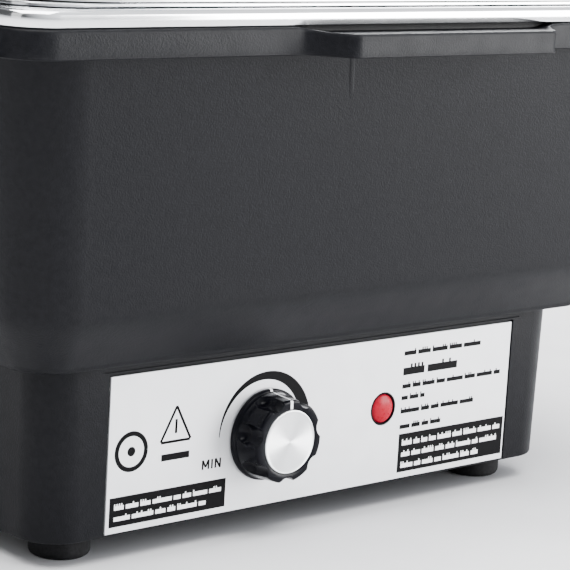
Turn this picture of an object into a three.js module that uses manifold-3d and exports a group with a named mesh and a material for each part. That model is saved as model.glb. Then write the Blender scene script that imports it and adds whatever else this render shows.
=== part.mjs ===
// Electric buffet server: a plastic tub on a plinth, a fixed stainless water pan with a
// heating element under it, a lift-out food pan and a lift-off lid.
// Millimetres, +Z up. Origin: centre of the footprint, on the surface that it stands on.
// The control panel is on the short end that faces -Y.
import * as THREE from 'three';
import { mergeVertices } from 'three/addons/utils/BufferGeometryUtils.js';
import Module from 'manifold-3d';

const wasm = await Module();
wasm.setup();

// ---------------------------------------------------------------- driving dimensions
const GAP = 0.3;                     // between pieces that touch
const RUN = 0.3;                     // round a turning or fixing part in its hole

const RIM_W = 340;                   // outside of the tub's rim
const RIM_L = 545;
const RIM_R = 14;
const RIM_DROP = 9.4;                // height of the rim's outer skirt
const RIM_OUT = 7;                   // how far the rim stands proud of the wall
const RIM_SKIN = 2.5;
const TUB_H = 115.6;                 // from the tub's underside to the top of its rim
const TUB_WALL = 3;
const TUB_TOP_R = 24;                // corner radius of the wall under the rim
const CREASE_H = 19.6;               // height above the underside where the wall turns inwards
const CREASE_SOFT = 5;               // half height of the rounded crease
const CREASE_IN = 14.2;              // wall taper between rim and crease
const CREASE_R = 22;
const BELLY_IN = 13.9;               // taper between crease and underside
const BELLY_R = 14.2;

const GRIP_OUT = 12.6;               // how far a grip stands out of the rim
const GRIP_HALF = 50.5;              // half of its straight front
const GRIP_FLARE = 8.5;              // how much wider it is where it joins the rim
const GRIP_CORNER = 4;
const GRIP_DIP = 2;                  // its top lies this much below the rim
const RIB_X = 30;                    // small rib on the wall under each grip
const RIB_T = 2.2;
const RIB_H = 17;
const RIB_OUT = 1.2;

const FOOT_H = 9.7;
const FOOT_R = 10.8;
const FOOT_IN_X = 21.4;              // foot's axis, in from the plinth's long sides
const FOOT_IN_Y = 19.8;              // and from its ends
const FOOT_SINK = 3.4;               // depth of the screw's counterbore
const CASE_SCREW_R = 1.8;
const CASE_HEAD_R = 3.6;

const PLINTH_IN_X = 11.2;            // plinth's sides, in from the tub's underside
const PLINTH_IN_Y = 8.1;             // plinth's ends, in from the tub's underside
const BASE_R = 15;
const BASE_DRAFT = 1.6;              // how much wider each side is at the top
const BASE_WALL = 3.4;
const BASE_TOP_BAND = 4.6;           // plinth above the fascia's groove
const COVER_T = 2.4;
const BOSS_R = 5.6;
const BOSS_IN = 4.6;                 // boss's axis, in from the inside of the wall
const BOSS_Y = 150;
const VENT_SLOTS = 7;
const VENT_PITCH = 14;
const VENT_W = 4;
const VENT_L = 80;

const FASCIA_SIDE = 25.7;            // plinth beside the fascia
const FASCIA_H = 55;
const FASCIA_T = 0.8;
const FASCIA_LIP = 1;                // plinth under the fascia
const FASCIA_EDGE = 0.8;             // groove round the fascia
const RECESS_D = 1.3;

const KNOB_X = -27.9;
const KNOB_UP = 26.5;                // knob's axis above the fascia's lower edge
const KNOB_R = 15;
const KNOB_SKIRT = 1.7;              // how far the skirt stands out of the grip
const KNOB_RIM = 3.5;                // ring round the cap
const KNOB_OUT = 13.8;               // front of its cap, from the fascia
const KNOB_LIFT = 0.5;               // skirt above the fascia
const KNOB_FLUTES = 7;
const FLUTE_R = 4.2;
const FLUTE_OUT = 2.2;               // flute's axis, outside the grip's surface
const SKIRT_T = 2;
const CAP_T = 1.5;
const CAP_SINK = 1.4;
const SPINDLE_R = 3;
const SPINDLE_FLAT = 1.5;            // distance of the D flat from the axis
const SPINDLE_IN = 14;               // spindle's length behind the fascia
const THERMO_W = 33;
const THERMO_H = 26;
const THERMO_D = 22;
const THERMO_PITCH = 28;
const THERMO_SCREW_R = 1.9;
const THERMO_HEAD_R = 3.4;
const THERMO_HEAD_T = 1;

const LAMP_X = 30.6;
const LAMP_UP = 28.3;
const LAMP_R = 6.1;
const LAMP_RIM = 0.6;                // sleeve's edge round the lens
const LAMP_BACK = 18;

const SHEET = 1;                     // stainless sheet, pans and lid
const PAN_FLANGE_DROP = 5.1;         // down-turned edge of the water pan's flange
const PAN_INSET = 0.6;               // flange edge, in from the rim's face
const FOOD_IN = 7.5;                 // food pan's flange, in from the rim's face
const FOOD_FLANGE = 10.5;
const FOOD_DEPTH = 65;
const FOOD_CORNER = 44;
const FOOD_TAPER = 7;                // how much each wall of the food pan leans in
const WATER_UP = 32;                 // underside of the water pan above the tub's underside
const WATER_CLEAR = 2.2;             // round the food pan
const SUMP_IN = 10;                  // step from the water pan's waist to its floor

const LID_INSET = 1.4;               // lid edge, in from the food pan's flange
const LID_H = 66;
const LID_R = 34;
const HANDLE_SPAN = 118;
const HANDLE_H = 34;
const HANDLE_W = 20;
const HANDLE_T = 5;
const HANDLE_PAD = 9;                // half length of each end that sits on a washer
const WASHER_T = 3;
const WASHER_R = 8.5;
const HANDLE_SCREW_R = 2;

const ELEMENT_R = 3.25;
const ELEMENT_X = 74;                // half size of the element's loop
const ELEMENT_Y = 150;
const ELEMENT_BEND = 26;
const ELEMENT_END_X = 14;            // half distance of its two ends
const ELEMENT_END_IN = 22;           // from the loop's front to its ends
const SPREAD_T = 2;
const BAR_Y = 95;                    // clamp bars
const BAR_T = 1.5;
const BAR_W = 12;
const STUD_R = 2;
const NUT_H = 3;
const SHIELD_T = 1;
const SHIELD_H = 10;
const CUTOUT_R = 8;
const CUTOUT_H = 9;
const BULB_R = 3;
const BULB_X = -30;
const CAPILLARY_R = 0.9;

const INLET_W = 48;
const INLET_H = 24;
const INLET_UP = 28.8;               // inlet's axis above the plinth's lower edge
const INLET_T = 2.6;
const INLET_PITCH = 40;
const INLET_SCREW_R = 1.6;
const SOCKET_W = 24;
const SOCKET_H = 16.5;
const SOCKET_WALL = 2;
const SOCKET_CHAMFER = 4.5;
const PIN_PLACES = [[-7, -2], [7, -2], [0, 2]];
const BLOCK_Y = -70;                 // terminal block
const BLOCK_W = 48;
const BLOCK_L = 18;
const BLOCK_H = 15;
const BLOCK_PITCH = 14;
const WIRE_R = 1.3;

// ---------------------------------------------------------------- derived levels
const BASE_Z = FOOT_H - 0.1;         // lower edge of the plinth
const FASCIA_Z = BASE_Z + FASCIA_LIP;
const TUB_Z = FASCIA_Z + FASCIA_H + FASCIA_EDGE + BASE_TOP_BAND;
const RIM_Z = TUB_Z + TUB_H;
const CREASE_Z = TUB_Z + CREASE_H;
const FLOOR_TOP = TUB_Z + TUB_WALL;
const baseTop = TUB_Z - GAP;

const rimX = RIM_W / 2;
const rimY = RIM_L / 2;
const wallX = rimX - RIM_OUT;
const wallY = rimY - RIM_OUT;
const creaseX = wallX - CREASE_IN;
const creaseY = wallY - CREASE_IN;
const bellyX = creaseX - BELLY_IN;
const bellyY = creaseY - BELLY_IN;
const baseX = bellyX - PLINTH_IN_X;
const baseY = bellyY - PLINTH_IN_Y;

const FACE_Y = -baseY;               // front face of the plinth
const PLATE_Y = FACE_Y + 0.1;        // front face of the fascia
const RECESS_Y = FACE_Y + RECESS_D;  // floor of the fascia's recess
const BACK_Y = FACE_Y + BASE_WALL;   // inside of the plinth's front wall
const FASCIA_W = 2 * (baseX - FASCIA_SIDE);
const KNOB_Z = FASCIA_Z + KNOB_UP;
const KNOB_FACE = KNOB_OUT - 0.4;    // front ring
const KNOB_CAP_R = KNOB_R - KNOB_RIM;
const LAMP_Z = FASCIA_Z + LAMP_UP;
const LAMP_LENS_R = LAMP_R - LAMP_RIM;
const INLET_Z = BASE_Z + INLET_UP;

const COVER_Z = FOOT_H + GAP;
const INSIDE_Z = COVER_Z + COVER_T + GAP;
const BOSS_X = baseX - BASE_WALL - BOSS_IN;
const FOOT_X = baseX - FOOT_IN_X;
const FOOT_Y = baseY - FOOT_IN_Y;
const SHIELD_X = BOSS_X - 9;         // half size of the heat shield's floor
const SHIELD_Y = baseY - 24;

const FOOD_W = RIM_W - 2 * FOOD_IN;  // gastronorm 1/1: 325 x 530
const FOOD_L = RIM_L - 2 * FOOD_IN;
const FLANGE_TOP = RIM_Z + GAP + PAN_FLANGE_DROP;
const FOOD_TOP = FLANGE_TOP + GAP + SHEET;
const FOOD_Z = FOOD_TOP - FOOD_DEPTH - SHEET;
const WATER_Z = TUB_Z + WATER_UP;
const LID_Z = FOOD_TOP + GAP;
const SPREAD_Z = WATER_Z - GAP - SPREAD_T;
const ELEMENT_Z = SPREAD_Z - GAP - ELEMENT_R;
const BAR_Z = ELEMENT_Z - ELEMENT_R - GAP - BAR_T;

// ---------------------------------------------------------------- materials
const finish = (color, roughness, metalness) =>
  new THREE.MeshStandardMaterial({ color, roughness, metalness });
const blackPlastic = finish(0x1c1d1f, 0.62, 0);
const glossBlack = finish(0x0c0c0d, 0.2, 0);
const rubber = finish(0x17181a, 0.9, 0);
const steel = finish(0xd6d8da, 0.18, 1);
const brushed = finish(0xb9babb, 0.35, 1);
const platePaint = finish(0xdfe0e4, 0.42, 0.3);
const redLens = finish(0xb01822, 0.22, 0);
const castAlu = finish(0xb4b6b8, 0.5, 1);
const zinc = finish(0xa9abad, 0.45, 1);
const brass = finish(0xc0a050, 0.35, 1);
const white = finish(0xe4e2da, 0.55, 0);
const wireBrown = finish(0x5a3218, 0.6, 0);
const wireBlue = finish(0x2450a0, 0.6, 0);
const wireGreen = finish(0x6f9a2c, 0.6, 0);

// ---------------------------------------------------------------- helpers
const server = new THREE.Group();

function add(name, geometry, material, parent = server) {
  const mesh = new THREE.Mesh(geometry, material);
  mesh.name = name;
  parent.add(mesh);
  return mesh;
}

function toSolid(geometry) {
  const bare = geometry.clone();
  bare.deleteAttribute('normal');
  bare.deleteAttribute('uv');
  const merged = mergeVertices(bare, 1e-4);
  return new wasm.Manifold(new wasm.Mesh({
    numProp: 3,
    vertProperties: Float32Array.from(merged.attributes.position.array),
    triVerts: Uint32Array.from(merged.index.array),
  }));
}

function toGeometry(manifold) {
  const mesh = manifold.getMesh();
  const geometry = new THREE.BufferGeometry();
  geometry.setAttribute('position', new THREE.Float32BufferAttribute(mesh.vertProperties, 3));
  geometry.setIndex(new THREE.BufferAttribute(mesh.triVerts, 1));
  geometry.computeVertexNormals();
  return geometry;
}

// cuts and joins a list of geometries: build(base).cut(a, b).join(c).geometry
function build(base) {
  let body = toSolid(base);
  return {
    cut(...tools) {
      for (const tool of tools) body = body.subtract(toSolid(tool));
      return this;
    },
    join(...extras) {
      for (const extra of extras) body = body.add(toSolid(extra));
      return this;
    },
    get geometry() { return toGeometry(body); },
  };
}

const CORNER_STEPS = 6;

// corner points of a rounded rectangle, counter-clockwise seen from +Z
function ring({ x, y, r, z }) {
  const points = [];
  const corners = [[1, -1, -90], [1, 1, 0], [-1, 1, 90], [-1, -1, 180]];
  for (const [sx, sy, start] of corners) {
    for (let i = 0; i <= CORNER_STEPS; i++) {
      const a = THREE.MathUtils.degToRad(start + 90 * i / CORNER_STEPS);
      points.push(new THREE.Vector3(sx * (x - r) + r * Math.cos(a), sy * (y - r) + r * Math.sin(a), z));
    }
  }
  return points;
}

// skin over a list of rounded-rectangle sections. A closed loop of sections makes a frame,
// an open list is capped at both ends.
function loft(sections, closed = false) {
  const rings = sections.map(ring);
  const n = rings[0].length;
  const index = [];
  const bands = closed ? rings.length : rings.length - 1;
  for (let k = 0; k < bands; k++) {
    const lower = k * n;
    const upper = ((k + 1) % rings.length) * n;
    for (let i = 0; i < n; i++) {
      const j = (i + 1) % n;
      index.push(lower + i, lower + j, upper + j, lower + i, upper + j, upper + i);
    }
  }
  if (!closed) {
    const cap = THREE.ShapeUtils.triangulateShape(rings[0].map((p) => new THREE.Vector2(p.x, p.y)), []);
    const last = (rings.length - 1) * n;
    for (const [a, b, c] of cap) index.push(a, c, b, last + a, last + b, last + c);
  }
  const geometry = new THREE.BufferGeometry();
  const flat = rings.flat().flatMap((p) => [p.x, p.y, p.z]);
  geometry.setAttribute('position', new THREE.Float32BufferAttribute(flat, 3));
  geometry.setIndex(index);
  geometry.computeVertexNormals();
  return geometry;
}

const section = (x, y, r, z) => ({ x, y, r, z });

// box between two corners
function block([x0, y0, z0], [x1, y1, z1]) {
  const box = new THREE.BoxGeometry(x1 - x0, y1 - y0, z1 - z0);
  return box.translate((x0 + x1) / 2, (y0 + y1) / 2, (z0 + z1) / 2);
}

// upright cylinder from z0 to z1
function post(x, y, r, z0, z1, sides = 16) {
  const rod = new THREE.CylinderGeometry(r, r, z1 - z0, sides).rotateX(Math.PI / 2);
  return rod.translate(x, y, (z0 + z1) / 2);
}

// cylinder along Y from y0 to y1
function rodY(x, z, r, y0, y1, sides = 24) {
  return new THREE.CylinderGeometry(r, r, y1 - y0, sides).translate(x, (y0 + y1) / 2, z);
}

// turned piece: profile points are [radius, height], from the axis back to the axis
function turned(profile, sides = 24) {
  const points = profile.map(([r, h]) => new THREE.Vector2(r, h));
  return new THREE.LatheGeometry(points, sides).rotateX(Math.PI / 2);
}

function tube(points, radius, steps, sides = 8) {
  const curve = new THREE.CatmullRomCurve3(points.map((p) => new THREE.Vector3(...p)), false, 'centripetal');
  const circle = new THREE.Shape();
  for (let i = 0; i < sides; i++) {
    const a = 2 * Math.PI * i / sides;
    const [u, v] = [radius * Math.cos(a), radius * Math.sin(a)];
    if (i) circle.lineTo(u, v);
    else circle.moveTo(u, v);
  }
  circle.closePath();
  return new THREE.ExtrudeGeometry(circle, { steps, extrudePath: curve, bevelEnabled: false });
}

const fourCorners = (x, y) => [[-x, -y], [x, -y], [x, y], [-x, y]];

// ---------------------------------------------------------------- tub
// outline of a grip seen from above, with S-shaped ends
function gripOutline(inset, end) {
  const front = end * (rimY + GRIP_OUT - inset);
  const root = end * (rimY - 1);
  const half = GRIP_HALF - inset;
  const foot = half + GRIP_FLARE;
  const shape = new THREE.Shape();
  const corner = GRIP_CORNER;
  shape.moveTo(-foot, root);
  const [bendY, edgeY] = [front - end * corner * 1.6, front - end * corner * 0.4];
  shape.bezierCurveTo(-foot + 5, root, -half - 2, bendY, -half, edgeY);
  shape.quadraticCurveTo(-half + 1, front, -half + corner, front);
  shape.lineTo(half - corner, front);
  shape.quadraticCurveTo(half - 1, front, half, edgeY);
  shape.bezierCurveTo(half + 2, bendY, foot - 5, root, foot, root);
  shape.closePath();
  return shape;
}

function gripSlab(inset, end, z0, z1) {
  const options = { depth: z1 - z0, bevelEnabled: false, curveSegments: 6 };
  return new THREE.ExtrudeGeometry(gripOutline(inset, end), options).translate(0, 0, z0);
}

// small upright rib that stands out of the wall under the rim
function gripRib(end) {
  const top = RIM_Z - RIM_DROP;
  const lean = CREASE_IN * RIB_H / (RIM_Z - CREASE_Z);   // taper of the wall over its height
  const drop = CREASE_IN * RIM_DROP / (RIM_Z - CREASE_Z);
  const outline = new THREE.Shape();
  outline.moveTo(wallY - drop - 1, top + 2);
  outline.lineTo(wallY - drop - lean - 1, top - RIB_H);
  outline.lineTo(wallY - drop - lean + RIB_OUT * 0.4, top - RIB_H);
  outline.lineTo(wallY - drop + RIB_OUT, top - 2);
  outline.lineTo(wallY - drop + RIB_OUT, top + 2);
  outline.closePath();
  const rib = new THREE.ExtrudeGeometry(outline, { depth: RIB_T, bevelEnabled: false });
  rib.rotateX(Math.PI / 2).rotateZ(Math.PI / 2).translate(RIB_T / 2, 0, 0);
  if (end < 0) rib.rotateZ(Math.PI);
  return rib.translate(RIB_X * end, 0, 0);
}

function tubBody() {
  const rimLow = RIM_Z - RIM_DROP;
  const under = RIM_Z - RIM_SKIN;
  const shell = loft([
    section(bellyX - 1.5, bellyY - 1.5, BELLY_R, TUB_Z),
    section(bellyX, bellyY, BELLY_R, TUB_Z + 1.5),
    section(creaseX - 4.5, creaseY - 4.5, CREASE_R, CREASE_Z - CREASE_SOFT),
    section(creaseX - 1.4, creaseY - 1.4, CREASE_R, CREASE_Z),
    section(creaseX + 0.4, creaseY + 0.4, CREASE_R, CREASE_Z + CREASE_SOFT),
    section(wallX, wallY, TUB_TOP_R, under),
    section(rimX - RIM_SKIN, rimY - RIM_SKIN, RIM_R - RIM_SKIN, under),
    section(rimX - RIM_SKIN, rimY - RIM_SKIN, RIM_R - RIM_SKIN, rimLow),
    section(rimX - 0.5, rimY - 0.5, RIM_R - 0.5, rimLow),
    section(rimX, rimY, RIM_R, rimLow + 0.5),
    section(rimX, rimY, RIM_R, RIM_Z - 1),
    section(rimX - 1, rimY - 1, RIM_R - 1, RIM_Z),
    section(wallX - TUB_WALL, wallY - TUB_WALL, TUB_TOP_R - TUB_WALL, RIM_Z),
    section(wallX - TUB_WALL, wallY - TUB_WALL, TUB_TOP_R - TUB_WALL, under),
    section(creaseX - TUB_WALL, creaseY - TUB_WALL, CREASE_R - TUB_WALL, CREASE_Z + CREASE_SOFT),
    section(creaseX - 4 - TUB_WALL, creaseY - 4 - TUB_WALL, CREASE_R - TUB_WALL, CREASE_Z),
    section(bellyX - TUB_WALL, bellyY - TUB_WALL, BELLY_R - TUB_WALL, FLOOR_TOP),
  ]);
  const tub = build(shell);
  for (const end of [-1, 1]) {
    const gripTop = RIM_Z - GRIP_DIP;
    tub.join(gripSlab(0, end, rimLow, gripTop));
    const inner = gripSlab(RIM_SKIN, end, rimLow - 1, gripTop - RIM_SKIN);
    const reach = end * (rimY - RIM_SKIN - 1);
    const outer = end * (rimY + GRIP_OUT);
    const [y0, y1] = [Math.min(reach, outer), Math.max(reach, outer)];
    // the rim's own skirt is left out behind the grip, and its top dips to the grip's
    const hollow = block([-GRIP_HALF, y0, rimLow - 1], [GRIP_HALF, y1, gripTop - RIM_SKIN]);
    const dip = block([-GRIP_HALF - 8, y0 - 4, gripTop], [GRIP_HALF + 8, y1 + 4, RIM_Z + 1]);
    tub.cut(toGeometry(toSolid(hollow).intersect(toSolid(inner))), dip);
    tub.join(gripRib(end));
  }
  // opening in the floor for the element's ends and the wiring
  const [openX, openY] = [SHIELD_X - 16, SHIELD_Y - 15];
  tub.cut(loft([section(openX, openY, 10, TUB_Z - 1), section(openX, openY, 10, FLOOR_TOP + 1)]));
  for (const [x, y] of fourCorners(BOSS_X, BOSS_Y)) {
    tub.cut(post(x, y, CASE_SCREW_R + RUN, TUB_Z - 1, FLOOR_TOP + 1));
  }
  return tub.geometry;
}
add('tub_body', tubBody(), blackPlastic);

// ---------------------------------------------------------------- plinth
function baseHousing() {
  const t = BASE_WALL;
  const housing = build(loft([
    section(baseX - 0.6, baseY - 0.6, BASE_R - 0.6, BASE_Z),
    section(baseX, baseY, BASE_R, BASE_Z + 0.6),
    section(baseX + BASE_DRAFT, baseY, BASE_R, baseTop),
    section(baseX + BASE_DRAFT - t, baseY - t, BASE_R - t, baseTop),
    section(baseX - t, baseY - t, BASE_R - t, BASE_Z),
  ], true));
  for (const [x, y] of fourCorners(BOSS_X, BOSS_Y)) {
    housing.join(post(x, y, BOSS_R, INSIDE_Z, baseTop));
    housing.cut(
      post(x, y, CASE_SCREW_R + RUN, COVER_Z, COVER_Z + 20),
      post(x, y, CASE_SCREW_R + RUN, baseTop - 18, baseTop + 1),
    );
  }
  const half = FASCIA_W / 2 + FASCIA_EDGE;
  housing.cut(
    block([-half, FACE_Y - 3, FASCIA_Z - 0.2], [half, RECESS_Y, FASCIA_Z + FASCIA_H + FASCIA_EDGE]),
    rodY(KNOB_X, KNOB_Z, SPINDLE_R + 1.4, FACE_Y - 1, BACK_Y + 1),
    rodY(LAMP_X, LAMP_Z, LAMP_R + RUN, FACE_Y - 1, BACK_Y + 1),
  );
  for (const side of [-1, 1]) {
    const x = KNOB_X + side * THERMO_PITCH / 2;
    housing.cut(
      rodY(x, KNOB_Z, THERMO_SCREW_R + RUN, FACE_Y, BACK_Y + 1, 16),
      rodY(x, KNOB_Z, THERMO_HEAD_R + RUN, RECESS_Y - 1, RECESS_Y + THERMO_HEAD_T + RUN, 16),
      rodY(side * INLET_PITCH / 2, INLET_Z, INLET_SCREW_R + RUN, baseY - t - 1, baseY + 1, 16),
    );
  }
  const [w, h] = [SOCKET_W / 2 + SOCKET_WALL + RUN, SOCKET_H / 2 + SOCKET_WALL + RUN];
  housing.cut(block([-w, baseY - t - 1, INLET_Z - h], [w, baseY + 1, INLET_Z + h]));
  return housing.geometry;
}

add('base_housing', baseHousing(), blackPlastic);

function bottomCover() {
  const inset = BASE_WALL + GAP;
  const cover = build(loft([
    section(baseX - inset - 0.6, baseY - inset - 0.6, BASE_R - inset, COVER_Z),
    section(baseX - inset - 0.6, baseY - inset - 0.6, BASE_R - inset, COVER_Z + COVER_T),
  ]));
  for (const [x, y] of fourCorners(FOOT_X, FOOT_Y)) {
    cover.join(post(x, y, 5, COVER_Z + 0.5, COVER_Z + 10));
    cover.cut(post(x, y, CASE_SCREW_R + RUN, COVER_Z - 1, COVER_Z + 8));
  }
  for (const [x, y] of fourCorners(BOSS_X, BOSS_Y)) {
    cover.cut(post(x, y, CASE_SCREW_R + RUN, COVER_Z - 1, COVER_Z + COVER_T + 1));
  }
  const [slotX, slotY] = [VENT_L / 2, VENT_W / 2];
  for (let i = 0; i < VENT_SLOTS; i++) {
    const y = (i - (VENT_SLOTS - 1) / 2) * VENT_PITCH;
    cover.cut(block([-slotX, y - slotY, COVER_Z - 1], [slotX, y + slotY, COVER_Z + COVER_T + 1]));
  }
  return cover.geometry;
}
add('bottom_cover', bottomCover(), blackPlastic);

// pan-head screw, head downwards or upwards, with its head's seat at the origin
function panScrew(shaftR, headR, headH, length) {
  return turned([[0, -headH], [headR * 0.7, -headH], [headR, -headH * 0.5], [headR, 0], [shaftR, 0],
    [shaftR, length - shaftR], [shaftR * 0.3, length], [0, length]], 10);
}

fourCorners(BOSS_X, BOSS_Y).forEach(([x, y], i) => {
  const low = add(`cover_screw_${i + 1}`, panScrew(CASE_SCREW_R, CASE_HEAD_R, 1.8, 14), zinc);
  low.position.set(x, y, COVER_Z - GAP);
  const high = add(`tub_screw_${i + 1}`, panScrew(CASE_SCREW_R, CASE_HEAD_R, 2.2, 14), zinc);
  high.rotation.x = Math.PI;
  high.position.set(x, y, FLOOR_TOP + GAP);
});

// ---------------------------------------------------------------- feet
function foot() {
  return turned([[CASE_SCREW_R + RUN, FOOT_H], [CASE_SCREW_R + RUN, FOOT_SINK], [4.4, FOOT_SINK], [4.4, 0],
    [FOOT_R - 1.6, 0], [FOOT_R - 0.5, 0.5], [FOOT_R, 1.6], [FOOT_R, FOOT_H],
    [CASE_SCREW_R + RUN, FOOT_H]], 24);
}
fourCorners(FOOT_X, FOOT_Y).forEach(([x, y], i) => {
  add(`foot_${i + 1}`, foot(), rubber).position.set(x, y, 0);
  const screw = add(`foot_screw_${i + 1}`, panScrew(CASE_SCREW_R, 3.8, 2.2, 11), zinc);
  screw.position.set(x, y, FOOT_SINK - GAP);
});

// ---------------------------------------------------------------- control panel
function fasciaPlate() {
  const plate = build(block([-FASCIA_W / 2, PLATE_Y, FASCIA_Z],
    [FASCIA_W / 2, PLATE_Y + FASCIA_T, FASCIA_Z + FASCIA_H]));
  plate.cut(
    rodY(KNOB_X, KNOB_Z, SPINDLE_R + 1.4, PLATE_Y - 1, PLATE_Y + 2),
    rodY(LAMP_X, LAMP_Z, LAMP_R + RUN, PLATE_Y - 1, PLATE_Y + 2, 32),
  );
  return plate.geometry;
}
add('fascia_plate', fasciaPlate(), platePaint);

// the knob's group has its axis along local Z, pointing out of the panel
const knobGroup = new THREE.Group();
knobGroup.rotation.x = Math.PI / 2;
knobGroup.position.set(KNOB_X, PLATE_Y, KNOB_Z);
server.add(knobGroup);

function thermostatKnob() {
  const skirtR = KNOB_R + KNOB_SKIRT;
  const body = turned([[0, KNOB_LIFT], [skirtR, KNOB_LIFT], [skirtR, KNOB_LIFT + SKIRT_T * 0.6],
    [skirtR - 0.6, KNOB_LIFT + SKIRT_T], [KNOB_R + 0.9, KNOB_LIFT + SKIRT_T + 0.4],
    [KNOB_R + 0.1, KNOB_FACE - 1.2], [KNOB_R - 0.9, KNOB_FACE], [0, KNOB_FACE]], 56);
  const knob = build(body);
  for (let i = 0; i < KNOB_FLUTES; i++) {
    const a = Math.PI / 2 + 2 * Math.PI * (i + 0.5) / KNOB_FLUTES;
    const reach = KNOB_R + FLUTE_OUT;
    const flute = new THREE.CapsuleGeometry(FLUTE_R, 24, 4, 16).rotateX(Math.PI / 2);
    flute.translate(reach * Math.cos(a), reach * Math.sin(a), KNOB_LIFT + SKIRT_T + FLUTE_R + 12.6);
    knob.cut(flute);
  }
  knob.cut(
    post(0, 0, KNOB_CAP_R + GAP, KNOB_FACE - CAP_SINK, KNOB_FACE + 1, 48),
    post(0, 0, KNOB_R - 2.4, KNOB_LIFT - 1, KNOB_LIFT + 7, 32),
  );
  knob.join(post(0, 0, SPINDLE_R + 2.4, KNOB_LIFT, KNOB_LIFT + 8, 24));
  knob.cut(spindleShape(RUN, KNOB_LIFT - 1, KNOB_LIFT + 9));
  return knob.geometry;
}

// D-shaped shaft with its flat towards +Y
function spindleShape(grow, z0, z1) {
  const rod = post(0, 0, SPINDLE_R + grow, z0, z1, 24);
  const flat = block([-9, SPINDLE_FLAT + grow, z0 - 1], [9, 9, z1 + 1]);
  return toGeometry(toSolid(rod).subtract(toSolid(flat)));
}
add('thermostat_knob', thermostatKnob(), glossBlack, knobGroup);
add('thermostat_spindle', spindleShape(0, -SPINDLE_IN, KNOB_LIFT + 8.5), zinc, knobGroup);
add('knob_cap', turned([[0, 0], [KNOB_CAP_R, 0], [KNOB_CAP_R, CAP_T - 0.6], [KNOB_CAP_R - 0.5, CAP_T],
  [0, CAP_T]], 36),
  brushed, knobGroup).position.z = KNOB_FACE - CAP_SINK + GAP;

function thermostatBody() {
  const front = BACK_Y + GAP;
  const [w, h] = [THERMO_W / 2, THERMO_H / 2];
  const [earX, earZ] = [w + 2.5, h + 2];
  const body = build(block([KNOB_X - earX, front, KNOB_Z - earZ], [KNOB_X + earX, front + 2, KNOB_Z + earZ]));
  body.join(
    block([KNOB_X - w, front + 1, KNOB_Z - h], [KNOB_X + w, front + THERMO_D, KNOB_Z + h]),
    rodY(KNOB_X, KNOB_Z, 9, front + 1, front + THERMO_D + 4),
  );
  body.cut(rodY(KNOB_X, KNOB_Z, SPINDLE_R + RUN, front - 1, PLATE_Y + SPINDLE_IN + GAP));
  for (const side of [-1, 1]) {
    body.cut(rodY(KNOB_X + side * THERMO_PITCH / 2, KNOB_Z, THERMO_SCREW_R + RUN, front - 1, front + 8, 16));
  }
  return body.geometry;
}
add('thermostat_body', thermostatBody(), zinc);
[-1, 1].forEach((side, i) => {
  const shape = panScrew(THERMO_SCREW_R, THERMO_HEAD_R, THERMO_HEAD_T, 8);
  const screw = add(`thermostat_screw_${i + 1}`, shape, zinc);
  screw.rotation.x = -Math.PI / 2;
  screw.position.set(KNOB_X + side * THERMO_PITCH / 2, RECESS_Y + THERMO_HEAD_T + 0.1, KNOB_Z);
});

// pilot lamp: snap-in sleeve and domed lens, on an axis pointing out of the panel
const lampGroup = new THREE.Group();
lampGroup.rotation.x = Math.PI / 2;
lampGroup.position.set(LAMP_X, PLATE_Y, LAMP_Z);
server.add(lampGroup);
add('pilot_lamp_sleeve', turned([[0, -LAMP_BACK], [LAMP_R, -LAMP_BACK], [LAMP_R, 0.2], [LAMP_LENS_R + GAP, 0.2],
  [LAMP_LENS_R + GAP, -6], [0, -6]], 24), blackPlastic, lampGroup);
const DOME = [0, 30, 60, 80].map((deg) => {
  const a = THREE.MathUtils.degToRad(deg);
  return [LAMP_LENS_R * Math.cos(a), -0.6 + 2.1 * Math.sin(a)];
});
add('pilot_lamp_lens', turned([[0, -5.6], [LAMP_LENS_R, -5.6], ...DOME, [0, 1.5]], 24), redLens, lampGroup);

// ---------------------------------------------------------------- water pan
const mouthX = FOOD_W / 2 - FOOD_FLANGE + WATER_CLEAR + SHEET;
const mouthY = FOOD_L / 2 - FOOD_FLANGE + WATER_CLEAR + SHEET;
const waistX = mouthX - FOOD_TAPER;  // beside the food pan's lower edge
const waistY = mouthY - FOOD_TAPER;
const waistZ = FOOD_Z + 6;
const sumpX = waistX - SUMP_IN;
const sumpY = waistY - SUMP_IN;
const sumpR = FOOD_CORNER - 4;

function waterPan() {
  const edgeX = rimX - PAN_INSET;
  const edgeY = rimY - PAN_INSET;
  const edgeR = RIM_R - PAN_INSET;
  const low = RIM_Z + GAP;
  const s = SHEET;
  return loft([
    section(sumpX - 8, sumpY - 8, sumpR - 6, WATER_Z),
    section(sumpX - 2, sumpY - 2, sumpR - 2, WATER_Z + 2.5),
    section(sumpX, sumpY, sumpR, WATER_Z + 8),
    section(waistX, waistY, FOOD_CORNER - 2, waistZ),
    section(mouthX, mouthY, FOOD_CORNER, FLANGE_TOP - 4),
    section(mouthX + 1.2, mouthY + 1.2, FOOD_CORNER, FLANGE_TOP - s),
    section(edgeX - s, edgeY - s, edgeR - s, FLANGE_TOP - s),
    section(edgeX - s, edgeY - s, edgeR - s, low),
    section(edgeX, edgeY, edgeR, low),
    section(edgeX, edgeY, edgeR, FLANGE_TOP - 1.8),
    section(edgeX - 0.5, edgeY - 0.5, edgeR - 0.5, FLANGE_TOP - 0.5),
    section(edgeX - 1.8, edgeY - 1.8, edgeR - 1.8, FLANGE_TOP),
    section(mouthX + 1, mouthY + 1, FOOD_CORNER, FLANGE_TOP),
    section(mouthX - s, mouthY - s, FOOD_CORNER - s, FLANGE_TOP - 3),
    section(waistX - s, waistY - s, FOOD_CORNER - 2 - s, waistZ),
    section(sumpX - s, sumpY - s, sumpR - s, WATER_Z + 8),
    section(sumpX - 8, sumpY - 8, sumpR - 6, WATER_Z + s),
  ]);
}
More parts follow.
